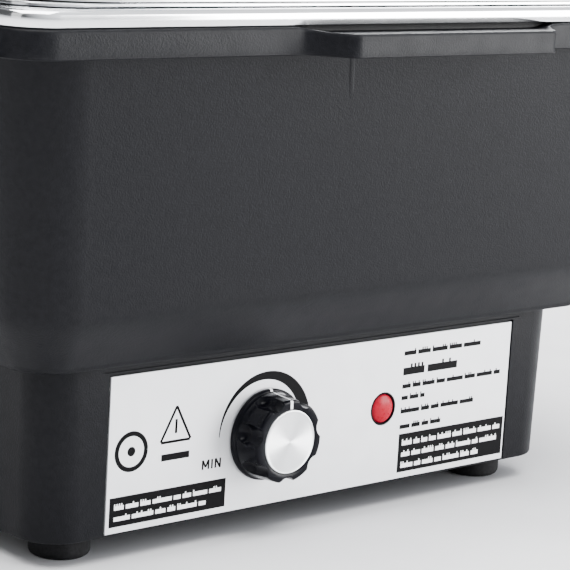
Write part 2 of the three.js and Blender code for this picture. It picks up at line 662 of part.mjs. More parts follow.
add('water_pan', waterPan(), steel);

// ---------------------------------------------------------------- food pan
const panGroup = new THREE.Group();
server.add(panGroup);

function foodPan() {
  const [fx, fy] = [FOOD_W / 2, FOOD_L / 2];
  const [bx, by] = [fx - FOOD_FLANGE, fy - FOOD_FLANGE];
  const s = SHEET;
  const t = FOOD_TAPER;
  const r = FOOD_CORNER;
  return loft([
    section(bx - t - 8, by - t - 8, r - 10, FOOD_Z),
    section(bx - t - 2, by - t - 2, r - 6, FOOD_Z + 3),
    section(bx - t, by - t, r - 4, FOOD_Z + 9),
    section(bx, by, r, FOOD_TOP - s - 3),
    section(bx + 2, by + 2, r, FOOD_TOP - s),
    section(fx, fy, 20, FOOD_TOP - s),
    section(fx, fy, 20, FOOD_TOP),
    section(bx + 2, by + 2, r, FOOD_TOP),
    section(bx - s, by - s, r - s, FOOD_TOP - 3),
    section(bx - t - s, by - t - s, r - 4 - s, FOOD_Z + 9),
    section(bx - t - 8, by - t - 8, r - 10, FOOD_Z + s),
  ]);
}
add('food_pan', foodPan(), steel, panGroup);

// ---------------------------------------------------------------- lid
const lidGroup = new THREE.Group();
panGroup.add(lidGroup);
const lidX = FOOD_W / 2 - LID_INSET;
const lidY = FOOD_L / 2 - LID_INSET;
const lidTop = LID_Z + LID_H;

// sections of the lid's outer face, from its edge to its flat top
const LID_PROFILE = [[0, 0], [0, 2.2], [5.5, 3.4], [8, 38], [13, 50], [26, 60], [60, LID_H]];

function lidShell() {
  const outer = LID_PROFILE.map(([inset, h]) => section(lidX - inset, lidY - inset, LID_R, LID_Z + h));
  const hollow = [section(lidX - 5.5 - SHEET, lidY - 5.5 - SHEET, LID_R - SHEET, LID_Z - 1)];
  for (const [inset, h] of LID_PROFILE.slice(2)) {
    hollow.push(section(lidX - inset - SHEET, lidY - inset - SHEET, LID_R - SHEET, LID_Z + h - SHEET));
  }
  const shell = build(loft(outer)).cut(loft(hollow));
  for (const end of [-1, 1]) {
    shell.cut(post(0, end * HANDLE_SPAN / 2, HANDLE_SCREW_R + RUN, lidTop - 5, lidTop + 1));
  }
  return shell.geometry;
}
add('lid', lidShell(), steel, lidGroup);

// strap handle along Y, on two stand-off washers, held by a screw from inside at each end
function lidHandle() {
  const h = HANDLE_SPAN / 2;
  const z0 = lidTop + 2 * GAP + WASHER_T;
  const top = z0 + HANDLE_H;
  const pad = HANDLE_PAD;
  const t = HANDLE_T;
  const outline = new THREE.Shape();
  outline.moveTo(-h - pad, z0);
  outline.lineTo(-h + pad, z0);
  outline.bezierCurveTo(-h + pad + 2, top - t - 4, -h + pad + 8, top - t, -h + 32, top - t);
  outline.lineTo(h - 32, top - t);
  outline.bezierCurveTo(h - pad - 8, top - t, h - pad - 2, top - t - 4, h - pad, z0);
  outline.lineTo(h + pad, z0);
  outline.bezierCurveTo(h + pad - 2, top - 6, h - 2, top, h - 24, top);
  outline.lineTo(-h + 24, top);
  outline.bezierCurveTo(-h + 2, top, -h - pad + 2, top - 6, -h - pad, z0);
  outline.closePath();
  const bar = new THREE.ExtrudeGeometry(outline, {
    depth: HANDLE_W - 3, bevelEnabled: true, bevelThickness: 1.5, bevelSize: 1.5, bevelOffset: -1.5,
    bevelSegments: 2, curveSegments: 8,
  });
  bar.translate(0, 0, -(HANDLE_W - 3) / 2).rotateX(Math.PI / 2).rotateZ(Math.PI / 2);
  const handle = build(bar);
  for (const end of [-1, 1]) handle.cut(post(0, end * h, HANDLE_SCREW_R + RUN, z0 - 1, z0 + 10));
  return handle.geometry;
}
add('lid_handle', lidHandle(), blackPlastic, lidGroup);
[-1, 1].forEach((end, i) => {
  const y = end * HANDLE_SPAN / 2;
  const bore = HANDLE_SCREW_R + RUN;
  const washer = add(`handle_washer_${i + 1}`, turned([[bore, 0], [WASHER_R, 0], [WASHER_R, WASHER_T - 0.8],
    [WASHER_R - 0.9, WASHER_T], [bore, WASHER_T], [bore, 0]], 20), blackPlastic, lidGroup);
  washer.position.set(0, y, lidTop + GAP);
  const screw = add(`handle_screw_${i + 1}`, panScrew(HANDLE_SCREW_R, 4, 2.2, 13), zinc, lidGroup);
  screw.position.set(0, y, lidTop - SHEET - GAP);
});

// ---------------------------------------------------------------- heating
function spreaderPlate() {
  const plate = build(loft([
    section(ELEMENT_X + 18, ELEMENT_Y + 22, 14, SPREAD_Z),
    section(ELEMENT_X + 18, ELEMENT_Y + 22, 14, SPREAD_Z + SPREAD_T),
  ]));
  for (const end of [-1, 1]) {
    plate.cut(post(0, end * BAR_Y, STUD_R + RUN, SPREAD_Z - 1, SPREAD_Z + SPREAD_T + 1));
  }
  return plate.geometry;
}
add('heat_spreader_plate', spreaderPlate(), castAlu);

const END_X = ELEMENT_END_X;
const END_Y = -ELEMENT_Y + ELEMENT_END_IN;
const [ex, ey] = [ELEMENT_X, ELEMENT_Y];
const bend = ELEMENT_BEND;
const bow = bend * (1 - Math.SQRT1_2);   // middle of a corner, in from the loop's corner point
const elementRoute = [
  [-END_X, END_Y, TUB_Z - 1], [-END_X, END_Y, TUB_Z + 8], [-END_X, END_Y - 3, ELEMENT_Z - 9],
  [-END_X - 4, END_Y - 11, ELEMENT_Z - 0.6],
  [-END_X - 14, -ey, ELEMENT_Z], [-ex + bend, -ey, ELEMENT_Z], [-ex + bow, -ey + bow, ELEMENT_Z],
  [-ex, -ey + bend, ELEMENT_Z], [-ex, 0, ELEMENT_Z], [-ex, ey - bend, ELEMENT_Z],
  [-ex + bow, ey - bow, ELEMENT_Z], [-ex + bend, ey, ELEMENT_Z], [0, ey, ELEMENT_Z],
];
const mirrored = elementRoute.slice(0, -1).reverse().map(([x, y, z]) => [-x, y, z]);
add('heating_element', tube([...elementRoute, ...mirrored], ELEMENT_R, 72, 8), zinc);

[-1, 1].forEach((end, i) => {
  const y = end * BAR_Y;
  const half = BAR_W / 2;
  const bar = build(block([-ex - 9, y - half, BAR_Z], [ex + 9, y + half, BAR_Z + BAR_T]));
  bar.cut(post(0, y, STUD_R + RUN, BAR_Z - 1, BAR_Z + BAR_T + 1));
  add(`clamp_bar_${i + 1}`, bar.geometry, zinc);
  add(`clamp_stud_${i + 1}`, post(0, y, STUD_R, BAR_Z - 5, WATER_Z - GAP, 12), zinc);
  const nut = build(post(0, y, STUD_R * 2, BAR_Z - GAP - NUT_H, BAR_Z - GAP, 6));
  nut.cut(post(0, y, STUD_R + RUN, BAR_Z - NUT_H - 3, BAR_Z + 1, 12));
  add(`clamp_nut_${i + 1}`, nut.geometry, zinc);
});

// thermal cut-out: a disc thermostat with two blades, against the spreader
function thermalCutout() {
  const top = SPREAD_Z - GAP;
  const disc = build(post(34, 20, CUTOUT_R, top - CUTOUT_H, top, 24));
  disc.join(block([24, 17, top - CUTOUT_H + 2], [44, 23, top - CUTOUT_H + 3]));
  return disc.geometry;
}
add('thermal_cutout', thermalCutout(), white);

const BULB_Z = SPREAD_Z - GAP - BULB_R;
const BULB_Y = END_Y + 68;           // bulb's front end
add('sensing_bulb', rodY(BULB_X, BULB_Z, BULB_R, BULB_Y, BULB_Y + 70, 16), brass);

// the capillary drops through the floor's opening and runs forward to the thermostat
const sleeveY = BACK_Y + 2 * GAP + THERMO_D + 4;
const between = (part) => sleeveY + part * (END_Y + 16 - sleeveY);
add('capillary_tube', tube([
  [BULB_X, BULB_Y - GAP, BULB_Z], [BULB_X, BULB_Y - 12, BULB_Z - 1], [BULB_X + 4, END_Y + 44, BULB_Z - 16],
  [BULB_X + 8, END_Y + 30, TUB_Z + 1], [BULB_X + 10, END_Y + 16, TUB_Z - 9],
  [BULB_X + 4, between(0.77), KNOB_Z + 13], [BULB_X + 2, between(0.5), KNOB_Z + 7],
  [BULB_X + 2, between(0.22), KNOB_Z + 6], [KNOB_X, sleeveY, KNOB_Z + 6],
], CAPILLARY_R, 28, 6), brass);

// heat shield: a shallow steel tray on the tub's floor
function heatShield() {
  const z = FLOOR_TOP + GAP;
  const s = SHIELD_T;
  const tray = build(loft([
    section(SHIELD_X, SHIELD_Y, 14, z), section(SHIELD_X + 2, SHIELD_Y + 2, 15, z + SHIELD_H),
    section(SHIELD_X + 2 - s, SHIELD_Y + 2 - s, 14, z + SHIELD_H),
    section(SHIELD_X - s, SHIELD_Y - s, 13, z + s),
  ]));
  tray.cut(block([-34, END_Y - 8, z - 1], [34, END_Y + 42, z + s + 1]));
  return tray.geometry;
}
add('heat_shield', heatShield(), zinc);

// ---------------------------------------------------------------- mains inlet and wiring
function mainsInlet() {
  const out = baseY + GAP;
  const half = INLET_W / 2;
  const inlet = build(block([-half, out, INLET_Z - INLET_H / 2], [half, out + INLET_T, INLET_Z + INLET_H / 2]));
  const [w, h] = [SOCKET_W / 2 + SOCKET_WALL, SOCKET_H / 2 + SOCKET_WALL];
  inlet.join(block([-w, baseY - 18, INLET_Z - h], [w, out + 1, INLET_Z + h]));
  const mouth = new THREE.Shape();
  const [sw, sh] = [SOCKET_W / 2, SOCKET_H / 2];
  mouth.moveTo(-sw, -sh);
  mouth.lineTo(sw, -sh);
  mouth.lineTo(sw, sh - SOCKET_CHAMFER);
  mouth.lineTo(sw - SOCKET_CHAMFER, sh);
  mouth.lineTo(-sw + SOCKET_CHAMFER, sh);
  mouth.lineTo(-sw, sh - SOCKET_CHAMFER);
  mouth.closePath();
  const well = new THREE.ExtrudeGeometry(mouth, { depth: 20, bevelEnabled: false });
  well.rotateX(Math.PI / 2).translate(0, baseY + 5, INLET_Z);
  inlet.cut(well);
  for (const side of [-1, 1]) {
    inlet.cut(rodY(side * INLET_PITCH / 2, INLET_Z, INLET_SCREW_R + RUN, out - 1, out + 4, 16));
  }
  for (const [x, z] of PIN_PLACES) inlet.cut(pinBlade(x, z, RUN));
  return inlet.geometry;
}
const PIN_BACK = baseY - 26;

function pinBlade(x, z, grow) {
  const [w, h] = [1 + grow, 2 + grow];
  return block([x - w, PIN_BACK - grow, INLET_Z + z - h], [x + w, baseY - 1, INLET_Z + z + h]);
}
add('mains_inlet', mainsInlet(), blackPlastic);
['line', 'neutral', 'earth'].forEach((pole, i) => {
  const [x, z] = PIN_PLACES[i];
  add(`inlet_pin_${pole}`, pinBlade(x, z, 0), brass);
});
[-1, 1].forEach((side, i) => {
  const screw = add(`inlet_screw_${i + 1}`, panScrew(INLET_SCREW_R, 3, 1.6, 9), zinc);
  screw.rotation.x = Math.PI / 2;
  screw.position.set(side * INLET_PITCH / 2, baseY + 2 * GAP + INLET_T, INLET_Z);
});

const wireZ = INSIDE_Z + 6;
function terminalBlock() {
  const [w, l] = [BLOCK_W / 2, BLOCK_L / 2];
  const body = build(block([-w, BLOCK_Y - l, INSIDE_Z], [w, BLOCK_Y + l, INSIDE_Z + BLOCK_H]));
  for (let i = -1; i <= 1; i++) {
    body.cut(rodY(i * BLOCK_PITCH, wireZ, WIRE_R + 0.9, BLOCK_Y - l - 1, BLOCK_Y + l + 1, 12));
  }
  return body.geometry;
}
add('terminal_block', terminalBlock(), white);

['line', 'neutral', 'earth'].forEach((pole, i) => {
  const [px, pz] = PIN_PLACES[i];
  const bx = [-BLOCK_PITCH, BLOCK_PITCH, 0][i];
  const colour = [wireBrown, wireBlue, wireGreen][i];
  add(`supply_wire_${pole}`, tube([
    [px, PIN_BACK - 1, INLET_Z + pz], [px, PIN_BACK - 18, INLET_Z + pz - 1], [px * 1.6, 140, wireZ + 6 + i],
    [bx, 60, wireZ + 4 + i], [bx, 0, wireZ + 1], [bx, BLOCK_Y + 12, wireZ], [bx, BLOCK_Y + 3, wireZ],
  ], WIRE_R, 20, 6), colour);
});
[['line', wireBrown, -1], ['neutral', wireBlue, 1]].forEach(([pole, colour, side]) => {
  add(`element_wire_${pole}`, tube([
    [side * BLOCK_PITCH, BLOCK_Y - 3, wireZ], [side * BLOCK_PITCH, BLOCK_Y - 12, wireZ],
    [side * 18, BLOCK_Y - 30, wireZ + 3],
    [side * 19, END_Y + 18, wireZ + 16], [side * 16, END_Y + 4, TUB_Z - 18], [side * END_X, END_Y, TUB_Z - 9],
    [side * END_X, END_Y, TUB_Z - 1.4],
  ], WIRE_R, 16, 6), colour);
});

export default server;
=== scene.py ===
import math
import random

import bmesh
import bpy
from mathutils import Matrix, Vector


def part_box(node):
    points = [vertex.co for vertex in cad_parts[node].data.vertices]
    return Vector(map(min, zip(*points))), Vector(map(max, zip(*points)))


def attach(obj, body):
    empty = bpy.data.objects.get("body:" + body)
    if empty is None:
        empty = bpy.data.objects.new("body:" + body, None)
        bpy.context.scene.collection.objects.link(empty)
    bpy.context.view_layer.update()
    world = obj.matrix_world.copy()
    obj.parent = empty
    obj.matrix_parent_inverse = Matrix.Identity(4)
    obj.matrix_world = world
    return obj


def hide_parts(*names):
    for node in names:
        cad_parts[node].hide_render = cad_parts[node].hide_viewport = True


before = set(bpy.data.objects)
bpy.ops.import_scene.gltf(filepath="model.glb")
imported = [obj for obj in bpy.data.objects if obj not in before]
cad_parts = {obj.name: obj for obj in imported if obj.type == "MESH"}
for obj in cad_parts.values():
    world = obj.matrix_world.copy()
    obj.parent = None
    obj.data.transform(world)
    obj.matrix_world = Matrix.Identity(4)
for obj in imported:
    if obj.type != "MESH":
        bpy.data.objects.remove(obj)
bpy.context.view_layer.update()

MM = 0.001
SMOOTH_ANGLE = 38        # degrees between two faces that still shade as one
BEVEL_ANGLE = 32         # degrees from which an edge is rounded

# The photograph's camera, measured in widths of the fascia plate from the middle of its lower edge
CAMERA_AT = Vector((-2.858, -3.0185, 1.1988))
CAMERA_YAW, CAMERA_PITCH, CAMERA_ROLL = 42.27, -10.97, 3.36
CAMERA_LENS = 145.45

# Where the light of a window comes from
WINDOW_SIDE = (0.8, -0.55, 0.35)

# Tub, in millimetres
PAN_INSET = 0.6          # water pan's edge, in from the rim's face
RIM_R = 14               # corner radii from the top down
TUB_TOP_R = 24
CREASE_R = 22
BELLY_R = 14.2
RIM_DROP = 9.4           # the rim's face hangs this far below its top
RIM_WALL = 2.5
RIM_OUT = 7              # wall, crease and underside, in from the rim's face
CREASE_IN = 21.2
BELLY_IN = 35.1
FLOOR_IN = 60            # the tub's floor is open further in than this past its edge
CREASE_UP = 19.6         # crease above the underside
CREASE_BEND = 6          # its rounding reaches this far up the wall
TUB_WALL = 3
GRIP_OUT = 12.6
GRIP_INNER, GRIP_OUTER = 46, 60   # where its S-shaped ends start and stop
GRIP_DIP = 2
RIB_X = 30
RIB_HALF = 1.15
RIB_TILT = 0.18          # the rib leans towards the middle

# Plinth, in millimetres
PLINTH_R = 15
PLINTH_DRAFT = 1.6       # wider at its top than at its foot by this much on each side
PLINTH_WALL = 3.4
SPINDLE_HOLE_R = 4.4
LAMP_HOLE_R = 6.4
SOCKET_HALF = (14.3, 10.6)   # half the inlet's opening, across and up

# Sheet metal, in millimetres
SHEET = 1
MOUTH_IN = 14.2          # water pan's mouth, in from its edge
MOUTH_R = 44             # corner radius of both pans' mouths
FOOD_WALL_IN = 10.5      # food pan's wall under its flange, in from its edge
LID_R = 34

# Knob, in millimetres, from the face of the fascia
KNOB_R = 15
KNOB_SKIRT_R = 16.7
KNOB_LIFT = 0.5
SKIRT_TOP = 2.5
KNOB_FACE = 13.4
CAP_R = 11.5
FLUTES = 7
FLUTE_R = 4.2
FLUTE_AT = 17.2          # flute's axis from the knob's
FLUTE_START = 7.3        # middle of the flute's ball end
KNOB_BORE_R = 2.9

scene = bpy.context.scene


# ---------------------------------------------------------------- mesh helpers
def piece(name, verts, faces, angle=SMOOTH_ANGLE):
    """A mesh object from points in millimetres, smooth except at edges sharper than angle."""
    mesh = bpy.data.meshes.new(name)
    mesh.from_pydata([(x * MM, y * MM, z * MM) for x, y, z in verts], [], faces)
    work = bmesh.new()
    work.from_mesh(mesh)
    bmesh.ops.recalc_face_normals(work, faces=work.faces)
    work.to_mesh(mesh)
    work.free()
    mesh.shade_smooth()
    mesh.set_sharp_from_angle(angle=math.radians(angle))
    obj = bpy.data.objects.new(name, mesh)
    scene.collection.objects.link(obj)
    return obj


def bevel(obj, width):
    """Rounds the sharp edges of a piece; width is in millimetres."""
    mod = obj.modifiers.new("bevel", "BEVEL")
    mod.width = width * MM
    mod.segments = 2
    mod.limit_method = "ANGLE"
    mod.angle_limit = math.radians(BEVEL_ANGLE)


def ring(half_x, half_y, radius, z, steps=12, middles=()):
    """Points of a rounded rectangle, counter-clockwise from above.

    middles are extra x places on its two ends.
    """
    points = []
    for sx, sy, start in ((1, -1, -90), (1, 1, 0), (-1, 1, 90), (-1, -1, 180)):
        for i in range(steps + 1):
            a = math.radians(start + 90 * i / steps)
            points.append((sx * (half_x - radius) + radius * math.cos(a),
                           sy * (half_y - radius) + radius * math.sin(a), z))
        if (sx, sy) == (1, 1):
            points.extend((x, half_y, z) for x in reversed(middles))
        if (sx, sy) == (-1, -1):
            points.extend((x, -half_y, z) for x in middles)
    return points


def skin(name, rings, closed=True):
    """Quads between rings of equal length.

    A closed skin joins the last ring to the first, an open one is capped.
    """
    count = len(rings[0])
    verts = [p for one in rings for p in one]
    faces = []
    for k in range(len(rings) if closed else len(rings) - 1):
        low, high = k * count, ((k + 1) % len(rings)) * count
        for i in range(count):
            j = (i + 1) % count
            faces.append((low + i, low + j, high + j, high + i))
    if not closed:
        faces.append(tuple(reversed(range(count))))
        faces.append(tuple(range((len(rings) - 1) * count, len(rings) * count)))
    return piece(name, verts, faces)


def lathe(name, profile, axis, at, sides=64, angle=SMOOTH_ANGLE):
    """A turned piece.

    profile is (radius, height) along axis, and starts and ends on it or closes on itself.
    """
    turn = Vector((0, 0, 1)).rotation_difference(Vector(axis)).to_matrix()
    verts, faces = [], []
    for r, h in profile:
        for i in range(sides):
            a = 2 * math.pi * i / sides
            point = turn @ Vector((r * math.cos(a), r * math.sin(a), h)) + Vector(at)
            verts.append(tuple(point))
    for k in range(len(profile) - 1):
        for i in range(sides):
            j = (i + 1) % sides
            faces.append((k * sides + i, k * sides + j, (k + 1) * sides + j, (k + 1) * sides + i))
    obj = piece(name, verts, faces, angle)
    work = bmesh.new()
    work.from_mesh(obj.data)
    bmesh.ops.remove_doubles(work, verts=work.verts, dist=1e-7)
    work.to_mesh(obj.data)
    work.free()
    return obj


def box_piece(name, low, high):
    x0, y0, z0 = low
    x1, y1, z1 = high
    verts = [(x0, y0, z0), (x1, y0, z0), (x1, y1, z0), (x0, y1, z0),
             (x0, y0, z1), (x1, y0, z1), (x1, y1, z1), (x0, y1, z1)]
    faces = [(3, 2, 1, 0), (4, 5, 6, 7), (0, 1, 5, 4), (1, 2, 6, 5), (2, 3, 7, 6), (3, 0, 4, 7)]
    return piece(name, verts, faces)


def cut(obj, cutters):
    """Cuts pieces out of obj and removes them."""
    for tool in cutters:
        mod = obj.modifiers.new("cut", "BOOLEAN")
        mod.operation = "DIFFERENCE"
        mod.solver = "EXACT"
        mod.object = tool
    graph = bpy.context.evaluated_depsgraph_get()
    mesh = bpy.data.meshes.new_from_object(obj.evaluated_get(graph))
    obj.modifiers.clear()
    obj.data = mesh
    for tool in cutters:
        bpy.data.objects.remove(tool)
    mesh.shade_smooth()
    mesh.set_sharp_from_angle(angle=math.radians(SMOOTH_ANGLE))


def dress(obj, body, slot_name, *nodes, look=None):
    """Gives a piece its material, picked by slot_name unless look is given, and its body, and hides the
    CAD nodes that it stands for.
    """
    obj.data.materials.clear()
    obj.data.materials.append(LOOKS[look or slot_name])
    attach(obj, body)
    if nodes:
        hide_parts(*nodes)


def box_mm(node):
    low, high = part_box(node)
    return low / MM, high / MM


def middle(node):
    low, high = box_mm(node)
    return (low + high) / 2


# ---------------------------------------------------------------- material helpers
class Look:
    """A principled material with short ways to add procedural detail, in the object's own metres."""

    def __init__(self, name, colour, roughness, metallic=0.0):
        self.material = bpy.data.materials.new(name)
        self.material.use_nodes = True
        self.tree = self.material.node_tree
        self.shader = self.tree.nodes["Principled BSDF"]
        self.coords = self.tree.nodes.new("ShaderNodeTexCoord").outputs["Object"]
        self.colour = colour
        self.set("Base Color", (*colour, 1))
        self.set("Roughness", roughness)
        self.set("Metallic", metallic)

    def set(self, socket, value):
        self.shader.inputs[socket].default_value = value

    def noise(self, size, detail=3, stretch=(1, 1, 1)):
        """Noise whose grain is size millimetres."""
        mapping = self.tree.nodes.new("ShaderNodeMapping")
        mapping.inputs["Scale"].default_value = stretch
        self.tree.links.new(self.coords, mapping.inputs["Vector"])
        node = self.tree.nodes.new("ShaderNodeTexNoise")
        node.inputs["Scale"].default_value = 1 / (size * MM)
        node.inputs["Detail"].default_value = detail
        self.tree.links.new(mapping.outputs["Vector"], node.inputs["Vector"])
        return node.outputs["Fac"]

    def spread(self, source, low, high):
        node = self.tree.nodes.new("ShaderNodeMapRange")
        node.inputs["From Min"].default_value = 0.3
        node.inputs["From Max"].default_value = 0.7
        node.inputs["To Min"].default_value = low
        node.inputs["To Max"].default_value = high
        self.tree.links.new(source, node.inputs["Value"])
        return node.outputs["Result"]

    def vary_roughness(self, source, low, high):
        self.tree.links.new(self.spread(source, low, high), self.shader.inputs["Roughness"])

    def vary_colour(self, source, other):
        mix = self.tree.nodes.new("ShaderNodeMix")
        mix.data_type = "RGBA"
        mix.inputs["A"].default_value = (*self.colour, 1)
        mix.inputs["B"].default_value = (*other, 1)
        self.tree.links.new(self.spread(source, 0, 1), mix.inputs["Factor"])
        self.tree.links.new(mix.outputs["Result"], self.shader.inputs["Base Color"])

    def bump(self, source, depth, strength=1.0):
        """Relief of depth millimetres from a noise."""
        node = self.tree.nodes.new("ShaderNodeBump")
        node.inputs["Strength"].default_value = strength
        node.inputs["Distance"].default_value = depth * MM
        self.tree.links.new(source, node.inputs["Height"])
        previous = self.shader.inputs["Normal"].links
        if previous:
            self.tree.links.new(previous[0].from_socket, node.inputs["Normal"])
        self.tree.links.new(node.outputs["Normal"], self.shader.inputs["Normal"])

    def tangent(self, axis):
        node = self.tree.nodes.new("ShaderNodeTangent")
        node.direction_type = "RADIAL"
        node.axis = axis
        self.tree.links.new(node.outputs["Tangent"], self.shader.inputs["Tangent"])


def moulded_plastic(name, colour, other, grain, depth, rough, specular):
    look = Look(name, colour, rough)
    look.vary_colour(look.noise(grain * 3, 2), other)
    look.vary_roughness(look.noise(grain * 12, 3), rough - 0.03, rough + 0.04)
    look.bump(look.noise(grain, 2), depth)
    look.set("Specular IOR Level", specular)
    return look.material


def polished_steel():
    rough = 0.13
    look = Look("polished_steel", (0.84, 0.85, 0.86), rough, 1.0)
    look.vary_colour(look.noise(70, 2), (0.8, 0.81, 0.82))
    look.vary_roughness(look.noise(18, 4), rough * 0.85, rough * 1.25)
    look.bump(look.noise(0.5, 2, (1, 0.04, 1)), 0.004, 0.35)
    return look.material


def spun_aluminium():
    look = Look("spun_aluminium", (0.86, 0.87, 0.88), 0.34, 1.0)
    look.vary_colour(look.noise(0.35, 3), (0.78, 0.79, 0.8))
    look.set("Anisotropic", 0.9)
    look.tangent("Y")
    look.bump(look.noise(0.25, 2), 0.002, 0.4)
    return look.material


def printed_plate():
    look = Look("fascia", (0.72, 0.725, 0.745), 0.36, 0.35)
    look.vary_colour(look.noise(40, 2), (0.745, 0.75, 0.765))
    look.vary_roughness(look.noise(6, 3), 0.3, 0.42)
    look.bump(look.noise(0.3, 2, (0.05, 1, 1)), 0.003, 0.5)
    return look.material


def lens():
    look = Look("red_lens", (0.25, 0.0, 0.010), 0.3)
    look.vary_colour(look.noise(2.2, 3), (0.32, 0.001, 0.016))
    look.set("Specular IOR Level", 0.12)
    look.vary_roughness(look.noise(1.2, 3), 0.22, 0.4)
    look.bump(look.noise(0.7, 2), 0.03)
    look.set("Subsurface Weight", 0.15)
    look.set("Subsurface Scale", 0.002)
    look.set("Subsurface Radius", (1.0, 0.3, 0.3))
    return look.material


def rough_metal(name, colour, other, rough, grain):
    look = Look(name, colour, rough, 1.0)
    look.vary_colour(look.noise(grain * 5, 4), other)
    look.vary_roughness(look.noise(grain * 2, 3), rough - 0.1, rough + 0.12)
    look.bump(look.noise(grain, 3), 0.02, 0.6)
    return look.material


def coated_wire(name, colour):
    look = Look(name, colour, 0.5)
    look.vary_colour(look.noise(5, 3), tuple(c * 0.8 for c in colour))
    look.vary_roughness(look.noise(2, 2), 0.42, 0.6)
    look.bump(look.noise(0.5, 2), 0.01)
    return look.material


# colour, its other shade, grain in millimetres, relief in millimetres, roughness, specular level
PLASTICS = {
    "black_plastic": ((0.0030, 0.0032, 0.0042), (0.0055, 0.0057, 0.007), 0.62, 0.11, 0.45, 0.085),
    "handle_black": ((0.006, 0.006, 0.0068), (0.009, 0.009, 0.0098), 0.9, 0.04, 0.45, 0.2),
    "gloss_black": ((0.002, 0.0021, 0.0034), (0.003, 0.0032, 0.005), 1.5, 0.006, 0.2, 0.07),
    "rubber": ((0.004, 0.004, 0.0045), (0.012, 0.012, 0.013), 0.35, 0.04, 0.75, 0.14),
    "print": ((0.0022, 0.0022, 0.0026), (0.0035, 0.0035, 0.004), 0.4, 0.004, 0.42, 0.04),
    "pointer": ((0.86, 0.86, 0.87), (0.8, 0.8, 0.81), 0.5, 0.004, 0.4, 0.5),
    "white_insulator": ((0.78, 0.76, 0.7), (0.7, 0.68, 0.62), 0.8, 0.02, 0.5, 0.5),
}
# colour, its other shade, roughness, grain in millimetres
ROUGH_METALS = {
    "zinc_steel": ((0.62, 0.63, 0.64), (0.5, 0.51, 0.53), 0.36, 0.8),
    "cast_aluminium": ((0.6, 0.61, 0.62), (0.5, 0.51, 0.52), 0.52, 1.2),
    "brass": ((0.72, 0.5, 0.2), (0.6, 0.4, 0.15), 0.32, 0.8),
}
WIRES = {
    "wire_brown": (0.1, 0.035, 0.012),
    "wire_blue": (0.015, 0.07, 0.35),
    "wire_green": (0.14, 0.32, 0.02),
}


def make_looks():
    looks = {name: moulded_plastic(name, *values) for name, values in PLASTICS.items()}
    looks["polished_steel"] = polished_steel()
    looks["fascia"] = printed_plate()
    looks["spun_aluminium"] = spun_aluminium()
    looks["red_lens"] = lens()
    looks.update({name: rough_metal(name, *values) for name, values in ROUGH_METALS.items()})
    looks.update({name: coated_wire(name, colour) for name, colour in WIRES.items()})
    return looks


LOOKS = make_looks()


# ---------------------------------------------------------------- tub
def blend_step(value, full, none):
    """1 at full, 0 at none, smooth in between."""
    t = min(max((none - value) / (none - full), 0), 1)
    return t * t * (3 - 2 * t)


